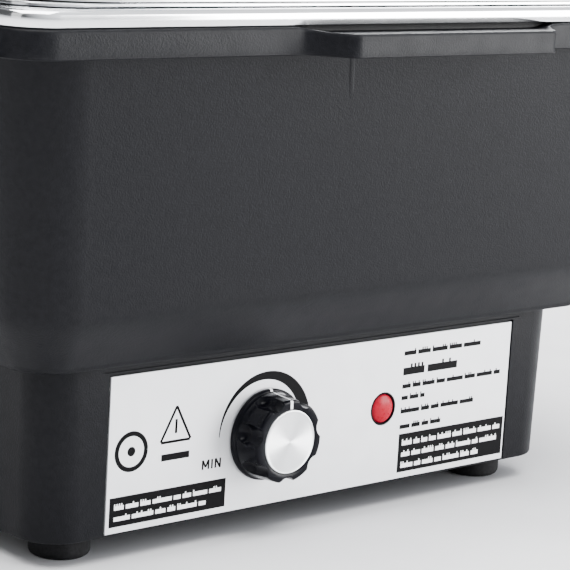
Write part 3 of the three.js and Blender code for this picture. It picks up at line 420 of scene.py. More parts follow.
def tub_shell():
    """The tub with its turned-down rim, which swells into a grip at each end."""
    _, pan_high = box_mm("water_pan")
    tub_low, tub_high = box_mm("tub_body")
    rim_x, rim_y = pan_high.x + PAN_INSET, pan_high.y + PAN_INSET
    top, floor = tub_high.z, tub_low.z
    low, under = top - RIM_DROP, top - RIM_WALL
    crease = floor + CREASE_UP
    wall_foot = crease + CREASE_BEND
    # inset from the rim's face, height, corner radius, share of the grip's reach, share of its dip
    profile = [
        (BELLY_IN + FLOOR_IN, floor, BELLY_R, 0, 0), (BELLY_IN + 1.6, floor, BELLY_R, 0, 0),
        (BELLY_IN + 0.5, floor + 0.15, BELLY_R, 0, 0), (BELLY_IN, floor + 0.7, BELLY_R, 0, 0),
        (BELLY_IN - 0.1, floor + 1.3, BELLY_R, 0, 0),
        (BELLY_IN - 0.6, floor + 2.2, BELLY_R + 0.3, 0, 0),
    ]
    # the crease is rounded: height from it, inset from its line
    soft = [(-9, 6.8), (-5, 3.9), (-3, 2.5), (-1.6, 1.6),
            (-0.4, 0.95), (0.8, 0.48), (2.4, 0.1), (CREASE_BEND, -0.45)]
    for up, inset in soft:
        profile.append((CREASE_IN + inset, crease + up, CREASE_R - max(0, -up) * 0.5, 0, 0))
    for part in (0.25, 0.5, 0.75, 1):
        z = wall_foot + (under - wall_foot) * part
        inset = CREASE_IN - 0.45 + (RIM_OUT - CREASE_IN + 0.45) * part
        profile.append((inset, z, CREASE_R + (TUB_TOP_R - CREASE_R) * part, 0, 0))
    profile += [
        (2.6, under, RIM_R - 2.6, 1, 1), (2.5, under - 0.2, RIM_R - 2.5, 1, 1),
        (2.5, low + 0.4, RIM_R - 2.5, 1, 0),
        (2.1, low, RIM_R - 2.1, 1, 0), (0.6, low, RIM_R - 0.6, 1, 0), (-0.1, low + 0.12, RIM_R, 1, 0),
        (-0.4, low + 0.45, RIM_R + 0.4, 1, 0), (-0.35, low + 0.75, RIM_R + 0.35, 1, 0),
        (0, low + 1.25, RIM_R, 1, 0), (0, top - 1.5, RIM_R, 1, 0.7),
        (0.15, top - 0.8, RIM_R - 0.15, 1, 0.7), (0.55, top - 0.25, RIM_R - 0.55, 1, 0.7),
        (1.3, top, RIM_R - 1.3, 1, 0.75), (2.6, top, RIM_R - 2, 0.9, 1),
        (3, top, RIM_R - 2, 0.15, 1), (4.4, top, RIM_R - 2, 0, 1),
        (4.8, top, RIM_R - 2, 0, 0), (RIM_OUT + TUB_WALL, top, 21, 0, 0),
        (RIM_OUT + TUB_WALL, under, 21, 0, 0), (CREASE_IN + TUB_WALL + 1, wall_foot, 19, 0, 0),
        (CREASE_IN + TUB_WALL + 5, crease, 19, 0, 0), (BELLY_IN + TUB_WALL, floor + TUB_WALL, 11, 0, 0),
        (BELLY_IN + FLOOR_IN, floor + TUB_WALL, BELLY_R, 0, 0),
    ]
    grip_half = 70
    middles = [x * 1.5 for x in range(-46, 47)]
    rings = []
    for inset, z, radius, reach, dip in profile:
        points = []
        for x, y, height in ring(rim_x - inset, rim_y - inset, radius, z, 16, middles):
            if abs(y) > rim_y - inset - 0.01 and abs(x) < grip_half:
                y += math.copysign(reach * GRIP_OUT * blend_step(abs(x), GRIP_INNER, GRIP_OUTER), y)
                height -= dip * GRIP_DIP * blend_step(abs(x), GRIP_INNER + 6, GRIP_OUTER + 4)
            points.append((x, y, height))
        rings.append(points)
    dress(skin("tub_shell", rings), "root", "black_plastic", "tub_body")
    for end in (-1, 1):
        grip_rib(end, rim_y - RIM_OUT, low, under, wall_foot)


def grip_rib(end, wall_y, low, wall_top, wall_foot):
    """The small upright rib on the wall under a grip."""
    lean = (CREASE_IN - RIM_OUT) / (wall_top - wall_foot)
    rings = []
    for drop, out in ((-3, 0.24), (2, 0.24), (12, 0.2), (16.2, 0.12), (17.2, -0.2)):
        z = low - drop
        wall = wall_y - lean * (wall_top - z)
        shift = RIB_TILT * drop
        x0, x1 = RIB_X - RIB_HALF - shift, RIB_X + RIB_HALF - shift
        face, edge = wall + out, wall + out * 0.8
        outline = [(x0 - 0.5, wall - 1), (x0 - 0.3, wall), (x0 + 0.3, edge), (x0 + 0.7, face),
                   (x1 - 0.7, face), (x1 - 0.3, edge), (x1 + 0.3, wall), (x1 + 0.5, wall - 1)]
        rings.append([(end * x, end * y, z) for x, y in outline])
    name = "grip_rib_front" if end < 0 else "grip_rib_rear"
    dress(skin(name, rings, closed=False), "root", "black_plastic")


# ---------------------------------------------------------------- plinth
def plinth():
    """The base's housing, hollow, with openings for the fascia, the spindle, the lamp and the inlet."""
    low, high = box_mm("base_housing")
    half_x, half_y = high.x - PLINTH_DRAFT, high.y
    # inset, height, share of the draft
    profile = [(0.9, low.z, 0), (0.35, low.z + 0.2, 0), (0, low.z + 0.9, 0), (0, high.z - 0.5, 1),
               (0.4, high.z, 1), (PLINTH_WALL, high.z, 1), (PLINTH_WALL, low.z, 0)]
    rings = []
    for inset, z, wide in profile:
        half = half_x + PLINTH_DRAFT * wide
        rings.append(ring(half - inset, half_y - inset, PLINTH_R - inset * 0.9, z, 14))
    body = skin("plinth", rings)
    plate_low, plate_high = box_mm("fascia_plate")
    knob, lamp, inlet = middle("knob_cap"), middle("pilot_lamp_lens"), middle("mains_inlet")
    gap, past = 0.8, 8
    recess = box_piece("recess", (plate_low.x - gap, plate_low.y - past, plate_low.z - 0.2),
                       (plate_high.x + gap, plate_low.y + 1.2, plate_high.z + gap))
    holes = [recess]
    for at, r in ((knob, SPINDLE_HOLE_R), (lamp, LAMP_HOLE_R)):
        bore = [(0, -past), (r, -past), (r, 10), (0, 10)]
        holes.append(lathe("hole", bore, (0, 1, 0), (at.x, plate_low.y, at.z), 40))
    socket_x, socket_z = SOCKET_HALF
    holes.append(box_piece("socket", (-socket_x, half_y - past, inlet.z - socket_z),
                           (socket_x, half_y + past, inlet.z + socket_z)))
    # two fine grooves run across the band over the fascia
    for z in (high.z - 1.3, high.z - 3.3):
        holes.append(box_piece("groove", (plate_low.x - 4, plate_low.y - past, z - 0.18),
                               (plate_high.x + 4, plate_low.y + 0.25, z + 0.18)))
    cut(body, holes)
    bevel(body, 0.25)
    dress(body, "root", "black_plastic", "base_housing")


def feet():
    """Rubber feet: a rounded pad around the hole for its screw."""
    for i in range(1, 5):
        node = f"foot_{i}"
        low, high = box_mm(node)
        at = middle(node)
        r, h = (high.x - low.x) / 2, high.z
        profile = [(2.1, h), (2.1, 3.4), (4.4, 3.4), (4.4, 0.4), (4.8, 0), (r - 2.2, 0), (r - 1.3, 0.2),
                   (r - 0.6, 0.7), (r - 0.15, 1.5), (r, 2.4), (r, h - 0.4), (r - 0.4, h), (2.1, h)]
        dress(lathe(node + "_pad", profile, (0, 0, 1), (at.x, at.y, 0), 72), "root", "rubber", node)


def cross_screw(node, body, inward):
    """A pan-head screw with a cross recess. inward is the way its shank points."""
    low, high = box_mm(node)
    inward = Vector(inward)
    size = high - low
    length = abs(size.dot(inward))
    head_r = max(size[i] for i in range(3) if not inward[i]) / 2
    at = middle(node) - inward * length / 2
    turn = Vector((0, 0, 1)).rotation_difference(inward).to_matrix()
    head_h, shank_r, sides = head_r * 0.5, head_r * 0.48, 48
    crown = 10
    levels = [(head_r * t / crown, head_h * 0.42 * (t / crown) ** 2.4) for t in range(crown)]
    levels += [(head_r, head_h * 0.62), (head_r, head_h), (shank_r, head_h),
               (shank_r, length - shank_r), (shank_r * 0.3, length), (0, length)]
    verts, faces = [], []
    slot_w, slot_l, slot_d = head_r * 0.13, head_r * 0.58, head_h * 0.55
    for k, (r, h) in enumerate(levels):
        for i in range(sides):
            a = 2 * math.pi * i / sides
            x, y = r * math.cos(a), r * math.sin(a)
            across = min(abs(x), abs(y))
            depth = slot_d if k < crown and r < slot_l and across < slot_w else 0
            verts.append(tuple(turn @ Vector((x, y, h + depth)) + at))
    for k in range(len(levels) - 1):
        for i in range(sides):
            j = (i + 1) % sides
            faces.append((k * sides + i, k * sides + j, (k + 1) * sides + j, (k + 1) * sides + i))
    dress(piece(node + "_fastener", verts, faces, 30), body, "zinc_steel", node)


def screws():
    for i in range(1, 5):
        cross_screw(f"cover_screw_{i}", "root", (0, 0, 1))
        cross_screw(f"foot_screw_{i}", "root", (0, 0, 1))
        cross_screw(f"tub_screw_{i}", "root", (0, 0, -1))
    for i in (1, 2):
        cross_screw(f"inlet_screw_{i}", "root", (0, -1, 0))
        cross_screw(f"handle_screw_{i}", "lid", (0, 0, 1))
        cross_screw(f"thermostat_screw_{i}", "root", (0, 1, 0))


# ---------------------------------------------------------------- control panel
PRINT_T = 0.06
SINK = 0.02              # a print starts this far inside the plate
WHITE_LIFT = 0.03        # white print stands this far over a black box
CRESCENT_R = 21.5
CRESCENT_UP = 1.3        # middle of the dial's band above the knob's axis
CRESCENT_THIN, CRESCENT_GROWS = 0.25, 5.1


def flat_print(name, outline, look="print", lift=0.0):
    """A thin ink shape on the fascia. outline is (x, height above the plate's lower edge)."""
    low, _ = box_mm("fascia_plate")
    count = len(outline)
    front, back = low.y - PRINT_T - lift, low.y + SINK
    verts = [(x, front, low.z + z) for x, z in outline] + [(x, back, low.z + z) for x, z in outline]
    faces = [tuple(range(count)), tuple(reversed(range(count, 2 * count)))]
    for i in range(count):
        j = (i + 1) % count
        faces.append((i, i + count, j + count, j))
    dress(piece(name, verts, faces), "root", "fascia", look=look)


def bar(x0, z0, x1, z1):
    return [(x0, z0), (x1, z0), (x1, z1), (x0, z1)]


def band(points, width):
    """Outline of an open stroke through points."""
    left, right = [], []
    for i, point in enumerate(points):
        before, after = Vector(points[max(i - 1, 0)]), Vector(points[min(i + 1, len(points) - 1)])
        along = (after - before).normalized()
        side = Vector((-along.y, along.x)) * width / 2
        left.append(tuple(Vector(point) + side))
        right.append(tuple(Vector(point) - side))
    return left + right[::-1]


def word_row(name, x0, z0, x1, height, seed, look="print", lift=0.0):
    """A row of blocks with ragged tops that reads as a line of small print without any letters."""
    rng = random.Random(seed)
    body_top, stem, pitch, gap = z0 + height * 0.68, height * 0.22, height * 0.45, height * 0.42
    blocks = []
    x = x0
    while x < x1 - height:
        wide = min(rng.uniform(1.1, 4.4) * height, x1 - x)
        blocks.append(bar(x, z0, x + wide, body_top))
        at = x
        while at < x + wide - height * 0.3:
            if rng.random() < 0.4:
                blocks.append(bar(at, body_top, at + stem, z0 + height))
            at += pitch
        x += wide + gap
    low, _ = box_mm("fascia_plate")
    verts, faces = [], []
    for block in blocks:
        f = range(len(verts), len(verts) + 8)
        for y in (low.y - PRINT_T - lift, low.y + SINK):
            verts += [(a, y, low.z + b) for a, b in block]
        faces += [(f[0], f[1], f[2], f[3]), (f[7], f[6], f[5], f[4])]
        faces += [(f[k], f[k + 4], f[(k + 1) % 4 + 4], f[(k + 1) % 4]) for k in range(4)]
    dress(piece(name, verts, faces), "root", "fascia", look=look)


def dial_crescent(knob_x, knob_z):
    """The band that thickens clockwise around the knob."""
    outer, inner = [], []
    steps = 72
    centre = Vector((knob_x, knob_z + CRESCENT_UP))
    for i in range(steps + 1):
        degrees = 180 - 196 * i / steps
        a = math.radians(degrees)
        thick = CRESCENT_THIN + CRESCENT_GROWS * (180 - degrees) / 170
        way = Vector((math.cos(a), math.sin(a)))
        outer.append(tuple(centre + way * CRESCENT_R))
        inner.append(tuple(centre + way * (CRESCENT_R - thick)))
    outline = outer + inner[::-1]
    low, _ = box_mm("fascia_plate")
    verts, faces = [], []
    for y in (low.y - PRINT_T, low.y + SINK):
        verts += [(x, y, low.z + z) for x, z in outline]
    total = len(outline)
    for i in range(steps):
        a, b, c, d = i, i + 1, total - 2 - i, total - 1 - i
        faces += [(a, b, c, d), (d + total, c + total, b + total, a + total)]
    for i in range(total):
        j = (i + 1) % total
        faces.append((i, i + total, j + total, j))
    dress(piece("dial_crescent", verts, faces), "root", "fascia", look="print")


def dial_min(x, z, height):
    """MIN in plain strokes beside the low end of the dial."""
    wide = height * 0.78
    strokes = {
        "m_left": (0, 0, 0, 1), "m_down": (0, 1, 0.5, 0.25), "m_up": (0.5, 0.25, 1, 1),
        "m_right": (1, 1, 1, 0), "i": (1.6, 0, 1.6, 1), "n_left": (2.2, 0, 2.2, 1),
        "n_cross": (2.2, 1, 3.0, 0), "n_right": (3.0, 0, 3.0, 1),
    }
    for name, (x0, z0, x1, z1) in strokes.items():
        ends = [(x + x0 * wide, z + z0 * height), (x + x1 * wide, z + z1 * height)]
        flat_print("dial_" + name, band(ends, 0.72))


def circle(x, z, radius, step, end):
    """Points of a circle on the plate, every step degrees up to end."""
    turns = (math.radians(degrees) for degrees in range(0, end, step))
    return [(x + radius * math.cos(a), z + radius * math.sin(a)) for a in turns]


# name, start, height above the plate's lower edge, end, height of the row, seed
LINES = [
    ("line_1", 40, 47.6, 82, 2.4, 11), ("line_2", 40, 40, 70, 4.2, 12),
    ("line_3", 40, 34.9, 93.4, 2.3, 13), ("line_4", 40, 30.4, 52.2, 2.3, 14),
    ("line_5", 40, 25.2, 79.3, 2.3, 15), ("line_6", 40, 19.2, 61.8, 2.3, 16),
]
LEFT_BOX_ROWS = [
    ("box_left_row_1", -94.6, 8.1, -47, 2.2, 4), ("box_left_row_2", -94.6, 4.2, -54, 2.2, 5),
]
RIGHT_BOX_ROWS = [
    ("box_right_row_1", 41.8, 12.6, 95.4, 2.4, 7), ("box_right_row_2", 41.8, 8.2, 94, 2.4, 8),
    ("box_right_row_3", 41.8, 3.8, 84, 2.4, 9),
]
RING_AT = (-88.2, 28)
TRIANGLE = [((-75.6, 29.4), (-69, 41.6)), ((-69, 41.6), (-62.4, 29.4)), ((-62.6, 29.2), (-75.4, 29.2))]


def fascia_prints():
    """The dial, two plain symbols, and rows of small print beside and inside two black boxes."""
    low, _ = box_mm("fascia_plate")
    axis = middle("knob_cap")
    dial_crescent(axis.x, axis.z - low.z)
    dial_min(-56.2, 17, 3.4)
    flat_print("symbol_ring", band(circle(*RING_AT, 6.3, 10, 361), 1.7))
    flat_print("symbol_dot", circle(*RING_AT, 1.7, 20, 360))
    for k, ends in enumerate(TRIANGLE):
        flat_print(f"symbol_triangle_{k}", band(ends, 0.95))
    flat_print("symbol_tick", bar(-69.5, 32, -68.5, 37))
    flat_print("symbol_bar", bar(-75, 22.6, -62.6, 25))
    flat_print("box_left", bar(-96.6, 2.2, -45.2, 12.6))
    for row in LEFT_BOX_ROWS:
        word_row(*row, "pointer", WHITE_LIFT)
    for row in LINES:
        word_row(*row)
    flat_print("box_right", bar(40, 2.2, 97.2, 17.2))
    for row in RIGHT_BOX_ROWS:
        word_row(*row, "pointer", WHITE_LIFT)


# outer surface of the knob without its flutes: radius, height above the fascia
KNOB_SIDE = [
    (KNOB_SKIRT_R - 0.3, KNOB_LIFT), (KNOB_SKIRT_R, KNOB_LIFT + 0.3), (KNOB_SKIRT_R, 1.5),
    (KNOB_SKIRT_R - 0.12, 1.95), (KNOB_SKIRT_R - 0.45, 2.3), (KNOB_SKIRT_R - 0.9, SKIRT_TOP),
    (KNOB_R + 0.95, SKIRT_TOP + 0.25), (KNOB_R + 0.75, SKIRT_TOP + 0.6),
]
KNOB_TOP = [
    (KNOB_R + 0.05, KNOB_FACE - 0.9), (KNOB_R - 0.1, KNOB_FACE - 0.45),
    (KNOB_R - 0.4, KNOB_FACE - 0.12), (KNOB_R - 0.85, KNOB_FACE), (CAP_R + 0.35, KNOB_FACE),
    (CAP_R + 0.2, KNOB_FACE - 0.12), (CAP_R + 0.2, KNOB_FACE - 1.3),
]


def fluted(radius, height, angle):
    """Radius of the knob at an angle from its pointer, where a flute may cut it."""
    pitch = 2 * math.pi / FLUTES
    off = angle % pitch - pitch / 2
    under = max(FLUTE_START - height, 0)
    reach = math.sqrt(max(FLUTE_R ** 2 - under ** 2, 0))
    side = FLUTE_AT * math.sin(off)
    if abs(side) >= reach:
        return radius
    return min(radius, FLUTE_AT * math.cos(off) - math.sqrt(reach ** 2 - side ** 2))


def knob():
    """The knob's skirt and fluted grip, open at the back and under its cap."""
    cap = middle("knob_cap")
    low, _ = box_mm("fascia_plate")
    sides, steps = FLUTES * 72, 34
    start, end = KNOB_SIDE[-1], KNOB_TOP[0]
    levels = [(KNOB_BORE_R, KNOB_LIFT)] + KNOB_SIDE
    for i in range(1, steps):
        t = i / steps
        levels.append((start[0] + (end[0] - start[0]) * t, start[1] + (end[1] - start[1]) * t))
    levels += KNOB_TOP + [(KNOB_BORE_R, KNOB_FACE - 1.3)]
    verts, faces = [], []
    for k, (r, h) in enumerate(levels):
        for i in range(sides):
            a = 2 * math.pi * i / sides
            radius = r
            if r > CAP_R + 0.5 and h > SKIRT_TOP:
                radius = fluted(r, h, a)
            verts.append((cap.x + radius * math.sin(a), low.y - h, cap.z + radius * math.cos(a)))
    count = len(levels)
    for k in range(count):
        n = (k + 1) % count
        for i in range(sides):
            j = (i + 1) % sides
            faces.append((k * sides + i, k * sides + j, n * sides + j, n * sides + i))
    dress(piece("knob_grip", verts, faces, 40), "knob", "gloss_black", "thermostat_knob")
    pointer(cap, low.y)
    knob_cap(cap, low.y)


def pointer(cap, plate_y):
    """The white line over the skirt, up the side and across the front ring, a little proud of each."""
    runs = {
        "pointer_skirt": ([(KNOB_SKIRT_R, 0.9), (KNOB_SKIRT_R, 1.5), (KNOB_SKIRT_R - 0.12, 1.95),
                           (KNOB_SKIRT_R - 0.45, 2.3), (KNOB_SKIRT_R - 0.9, SKIRT_TOP)], 1.1),
        "pointer_side": ([(KNOB_R + 0.7, 3.4), (KNOB_R + 0.1, KNOB_FACE - 1.1)], 0.55),
        "pointer_face": ([(KNOB_R - 0.1, KNOB_FACE - 0.45), (KNOB_R - 0.4, KNOB_FACE - 0.12),
                          (KNOB_R - 0.85, KNOB_FACE), (CAP_R + 0.4, KNOB_FACE)], 1.15),
    }
    for name, (line, width) in runs.items():
        verts, faces = [], []
        for out in (0.05, -0.1):
            for r, h in line:
                for side in (-1, 1):
                    verts.append((cap.x + side * width / 2, plate_y - h - out * (r < KNOB_R - 0.3),
                                  cap.z + r + out * (r >= KNOB_R - 0.5)))
        count = len(line)
        for i in range(count - 1):
            a = 2 * i
            b = a + 2 * count
            faces += [(a, a + 1, a + 3, a + 2), (b + 2, b + 3, b + 1, b),
                      (a, a + 2, b + 2, b), (a + 3, a + 1, b + 1, b + 3)]
        last, back = 2 * (count - 1), 2 * count
        faces += [(1, 0, back, back + 1), (last, last + 1, last + 1 + back, last + back)]
        dress(piece(name, verts, faces), "knob", "gloss_black", look="pointer")


def knob_cap(cap, plate_y):
    r, rings = CAP_R, 12
    back, face = KNOB_FACE - 1.05, KNOB_FACE + 0.26
    profile = [(0, back), (r, back), (r, KNOB_FACE + 0.05), (r - 0.12, KNOB_FACE + 0.22),
               (r - 0.32, KNOB_FACE + 0.3)]
    for i in range(rings + 1):
        profile.append(((r - 0.5) * (1 - i / rings), face))
    obj = lathe("spun_cap", profile, (0, -1, 0), (cap.x, plate_y, cap.z), 144, 20)
    dress(obj, "knob", "spun_aluminium", "knob_cap")


def pilot_lamp():
    at = middle("pilot_lamp_lens")
    low, _ = box_mm("fascia_plate")
    place = (at.x, low.y, at.z)
    sleeve = [(5.75, -6), (5.75, 0.05), (5.85, 0.2), (6.0, 0.2), (6.1, 0.08), (6.1, -18), (0, -18),
              (0, -6), (5.75, -6)]
    dress(lathe("lamp_sleeve", sleeve, (0, -1, 0), place), "root", "black_plastic", "pilot_lamp_sleeve")
    r, foot, rise, steps = 5.5, -0.9, 1.9, 14
    dome = [(0, -5.6), (r, -5.6), (r, foot)]
    for i in range(1, steps + 1):
        a = math.radians(90 * i / steps)
        dome.append((r * math.cos(a), foot + rise * math.sin(a)))
    dress(lathe("lamp_lens", dome, (0, -1, 0), place), "root", "red_lens", "pilot_lamp_lens")


# ---------------------------------------------------------------- pans and lid
def fillet(x, y, r, z, size, steps=5):
    """Sections that round an outer edge from upright to level, at that corner."""
    out = []
    for i in range(steps + 1):
        a = math.radians(90 * i / steps)
        inset = size * (1 - math.cos(a))
        out.append((x - inset, y - inset, r - inset, z - size + size * math.sin(a)))
    return out


def sections_at(x, y, rows):
    """Sections of a pan, each given as (inset from x and y, corner radius, height)."""
    return [(x - inset, y - inset, r, z) for inset, r, z in rows]


def basin(name, sections):
    """A pan from its outside floor over the flange to its inside floor, with both floors closed."""
    return skin(name, [ring(*section, 14) for section in sections], closed=False)


def water_pan():
    low, high = box_mm("water_pan")
    food_low, _ = box_mm("food_pan")
    x, y, top, floor = high.x, high.y, high.z, low.z
    mouth_x, mouth_y = x - MOUTH_IN, y - MOUTH_IN
    skirt = top - 5.1
    waist, waist_z = 7, food_low.z + 6
    sections = sections_at(mouth_x, mouth_y, [
        (25, 34, floor), (19.5, 37, floor + 1.6), (17.3, 40, floor + 6), (16.6, 40, floor + 9),
        (waist, 42, waist_z), (0, MOUTH_R, top - 4), (-0.4, MOUTH_R, top - 2),
        (-1.4, MOUTH_R, top - SHEET),
    ])
    sections += sections_at(x, y, [
        (SHEET + 0.6, 11.8, top - SHEET), (SHEET, 12.4, top - SHEET - 0.6), (SHEET, 12.4, skirt + 0.3),
        (SHEET - 0.2, 12.6, skirt), (0.2, 13.2, skirt), (0, 13.4, skirt + 0.3),
    ])
    sections += fillet(x, y, 13.4, top, 1.9)
    sections += sections_at(mouth_x, mouth_y, [
        (-1.4, MOUTH_R, top), (-0.2, 43.8, top - 0.5), (0.6, 43.4, top - 1.8), (SHEET, 43, top - 4),
        (waist + SHEET, 41, waist_z), (17.6, 39, floor + 9), (18.3, 39, floor + 6),
        (20.3, 36, floor + 2.4), (25, 34, floor + SHEET),
    ])
    dress(basin("water_bath", sections), "root", "polished_steel", "water_pan")


def food_pan():
    low, high = box_mm("food_pan")
    x, y, top, floor = high.x, high.y, high.z, low.z
    wall_x, wall_y = x - FOOD_WALL_IN, y - FOOD_WALL_IN
    taper, under = 7, top - SHEET
    inner = taper + SHEET
    sections = sections_at(wall_x, wall_y, [
        (taper + 9, 33, floor), (taper + 4.5, 36, floor + 0.9), (taper + 1.6, 38, floor + 3.6),
        (taper + 0.3, 40, floor + 9), (0.2, MOUTH_R, under - 4), (-0.5, MOUTH_R, under - 1.4),
        (-2, MOUTH_R, under),
    ])
    sections += sections_at(x, y, [
        (0.3, 19.7, under), (0, 20, under + 0.3), (0, 20, top - 0.35), (0.12, 19.9, top - 0.1),
        (0.4, 19.6, top),
    ])
    sections += sections_at(wall_x, wall_y, [
        (-2.2, MOUTH_R, top), (-0.6, 43.6, top - 0.5), (0.4, 43.2, top - 1.8), (SHEET, 43, top - 4),
        (inner + 0.3, 39, floor + 9), (inner + 1.5, 37.4, floor + 4), (inner + 4.3, 35, floor + 1.8),
        (inner + 9, 32, floor + SHEET),
    ])
    dress(basin("food_tray", sections), "food_pan", "polished_steel", "food_pan")


def lid():
    """A pressed lid: flange, upright wall and a flat-topped dome, one sheet thick."""
    low, high = box_mm("lid")
    x, y, floor = high.x, high.y, low.z
    # (inset from the lid's edge, height above it), over the flange, up the wall and in across the dome
    flange = [(0.3, 0), (0.05, 0.12), (0, 0.5), (0, 1.7),
              (0.15, 2.1), (0.5, 2.35), (4.4, 3.0), (5.2, 3.5)]
    wall_in, wall_z, dome_in, dome_z = 5.6, 4.6, 7.8, 38
    wall = []
    for i in range(7):
        wall.append((wall_in + (dome_in - wall_in) * i / 6, wall_z + (dome_z - wall_z) * i / 6))
    reach, rise = 53, high.z - floor - dome_z
    dome = []
    for i in range(1, 19):
        a = math.radians(90 * i / 18)
        dome.append((dome_in + reach * (1 - math.cos(a)) ** 1.15, dome_z + rise * math.sin(a)))
    inside = [(inset + SHEET * 0.7, h - SHEET) for inset, h in reversed(wall[1:] + dome)]
    inside += [(6.6, 3.2), (6.2, 0)]
    outside = flange + wall + dome
    rings = [ring(x - inset, y - inset, LID_R, floor + h, 18) for inset, h in outside]
    rings += [ring(x - inset, y - inset, LID_R - SHEET, floor + h, 18) for inset, h in inside]
    count, total = len(rings[0]), len(rings)
    verts = [p for one in rings for p in one]
    faces = []
    crown = len(outside) - 1
    for k in range(total):
        if k == crown:
            continue
        n = (k + 1) % total
        for i in range(count):
            j = (i + 1) % count
            faces.append((k * count + i, k * count + j, n * count + j, n * count + i))
    faces.append(tuple(range(crown * count, (crown + 1) * count)))
    faces.append(tuple(reversed(range((crown + 1) * count, (crown + 2) * count))))
    dress(piece("lid_shell", verts, faces, 50), "lid", "polished_steel", "lid")


# ---------------------------------------------------------------- the CAD's own meshes
SLOT_OF = {
    "bottom_cover": "black_plastic", "fascia_plate": "fascia", "thermostat_spindle": "zinc_steel",
    "thermostat_body": "zinc_steel", "lid_handle": "handle_black", "handle_washer": "handle_black",
    "heat_spreader_plate": "cast_aluminium", "heating_element": "zinc_steel", "clamp_bar": "zinc_steel",
    "clamp_stud": "zinc_steel", "clamp_nut": "zinc_steel", "thermal_cutout": "white_insulator",
    "sensing_bulb": "brass", "capillary_tube": "brass", "heat_shield": "zinc_steel",
    "mains_inlet": "black_plastic", "inlet_pin": "brass", "terminal_block": "white_insulator",
    "supply_wire_line": "wire_brown", "supply_wire_neutral": "wire_blue",
    "supply_wire_earth": "wire_green", "element_wire_line": "wire_brown",
    "element_wire_neutral": "wire_blue",
}
BEVELS = {
    "bottom_cover": 0.4, "fascia_plate": 0.12, "mains_inlet": 0.35, "inlet_pin": 0.25,
    "handle_washer": 0.3, "heat_shield": 0.2, "clamp_bar": 0.3, "terminal_block": 0.5,
    "thermal_cutout": 0.4, "clamp_nut": 0.3, "heat_spreader_plate": 0.4, "thermostat_body": 0.4,
}


def finish_cad():
    for name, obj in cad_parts.items():
        for start, slot_name in SLOT_OF.items():
            if name.startswith(start):
                obj.data.materials.clear()
                obj.data.materials.append(LOOKS[slot_name])
                obj.data.shade_smooth()
                obj.data.set_sharp_from_angle(angle=math.radians(32))
        for start, width in BEVELS.items():
            if name.startswith(start):
                bevel(obj, width)


# ---------------------------------------------------------------- stage
def studio_floor():
    """A pale floor that curves up into a backdrop."""
    size, rise, bend, flat = 14, 2.6, 0.7, 1.7
    profile = [(-size, 0)]
    for i in range(13):
        a = math.radians(90 * i / 12)
        profile.append((flat + bend * math.sin(a), bend * (1 - math.cos(a))))
    profile.append((flat + bend, rise))
    yaw = math.radians(CAMERA_YAW)
    ahead = Vector((math.sin(yaw), math.cos(yaw), 0))
    side = Vector((math.cos(yaw), -math.sin(yaw), 0))
    verts, faces = [], []
    for forward, z in profile:
        for across in (-size, size):
            point = ahead * forward + side * across
            verts.append((point.x / MM, point.y / MM, z / MM))
    for i in range(len(profile) - 1):
        faces.append((2 * i, 2 * i + 1, 2 * i + 3, 2 * i + 2))
    floor = piece("studio_floor", verts, faces, 60)
    look = Look("studio_paper", (0.9, 0.9, 0.91), 0.6)
    look.vary_colour(look.noise(110, 4), (0.8, 0.8, 0.815))
    look.bump(look.noise(2.5, 3), 0.05, 0.3)
    look.set("Specular IOR Level", 0.0)
    floor.data.materials.append(look.material)
    return floor


def spare(light, obj):
    """Keeps a light off one object."""
    unlit = bpy.data.collections.new(light.name + "_unlit")
    unlit.objects.link(obj)
    light.light_linking.receiver_collection = unlit
    unlit.collection_objects[0].light_linking.link_state = "EXCLUDE"


def softbox(name, place, aim, size, power):
    """An area light, in metres and watts."""
    data = bpy.data.lights.new(name, "AREA")
    data.shape = "RECTANGLE"
    data.size, data.size_y = size
    data.energy = power
    obj = bpy.data.objects.new(name, data)
    scene.collection.objects.link(obj)
    obj.location = place
    obj.rotation_euler = (Vector(aim) - Vector(place)).to_track_quat("-Z", "Y").to_euler()
    return obj


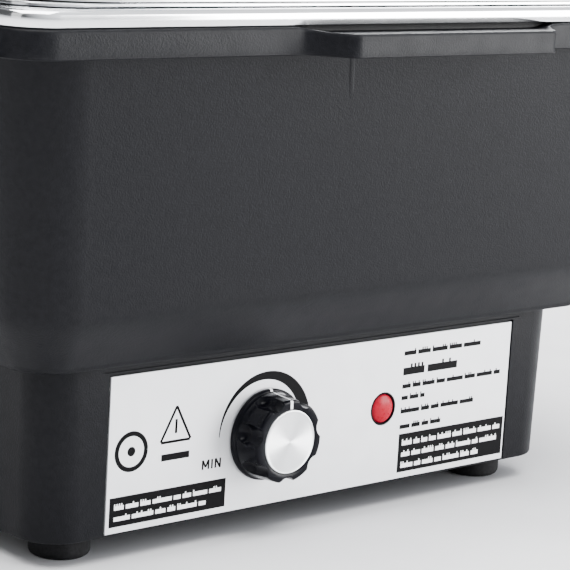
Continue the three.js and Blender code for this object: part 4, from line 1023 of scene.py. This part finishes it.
def light_stage(floor):
    world = bpy.data.worlds.new("studio")
    world.use_nodes = True
    tree = world.node_tree
    background = tree.nodes["Background"]
    background.inputs["Color"].default_value = (0.94, 0.96, 1.0, 1)
    # brighter towards the window side, dim behind the camera
    direction = tree.nodes.new("ShaderNodeTexCoord")
    facing = tree.nodes.new("ShaderNodeVectorMath")
    facing.operation = "DOT_PRODUCT"
    facing.inputs[1].default_value = Vector(WINDOW_SIDE).normalized()
    level = tree.nodes.new("ShaderNodeMapRange")
    for socket, value in (("From Min", -0.35), ("From Max", 0.9), ("To Min", 0.12), ("To Max", 1.95)):
        level.inputs[socket].default_value = value
    tree.links.new(direction.outputs["Generated"], facing.inputs[0])
    tree.links.new(facing.outputs["Value"], level.inputs["Value"])
    tree.links.new(level.outputs["Result"], background.inputs["Strength"])
    scene.world = world
    # the key stands close to the floor and would leave a bright patch on it
    spare(softbox("key_right", (0.72, -0.86, 0.3), (0.12, -0.25, 0.12), (0.6, 0.6), 24), floor)
    softbox("top", (-0.2, -0.3, 1.7), (0, 0, 0.1), (1.8, 1.8), 115)
    softbox("left_fill", (-1.7, -0.4, 0.7), (-0.1, 0, 0.1), (0.8, 1.4), 4)


def make_camera():
    low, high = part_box("fascia_plate")
    width = high.x - low.x
    data = bpy.data.cameras.new("camera")
    data.sensor_width = 36
    data.lens = CAMERA_LENS
    data.clip_start, data.clip_end = 0.05, 20
    camera = bpy.data.objects.new("camera", data)
    scene.collection.objects.link(camera)
    yaw, pitch, roll = (math.radians(a) for a in (CAMERA_YAW, CAMERA_PITCH, CAMERA_ROLL))
    right = Vector((math.cos(yaw), -math.sin(yaw), 0))
    ahead = Vector((math.sin(yaw) * math.cos(pitch), math.cos(yaw) * math.cos(pitch), math.sin(pitch)))
    up = right.cross(ahead)
    across = math.cos(roll) * right + math.sin(roll) * up
    above = math.cos(roll) * up - math.sin(roll) * right
    turn = Matrix((across, above, -ahead)).transposed()
    place = Vector((0, low.y, low.z)) + CAMERA_AT * width
    camera.matrix_world = Matrix.Translation(place) @ turn.to_4x4()
    scene.camera = camera


tub_shell()
plinth()
feet()
screws()
fascia_prints()
knob()
pilot_lamp()
water_pan()
food_pan()
lid()
finish_cad()
light_stage(studio_floor())
make_camera()
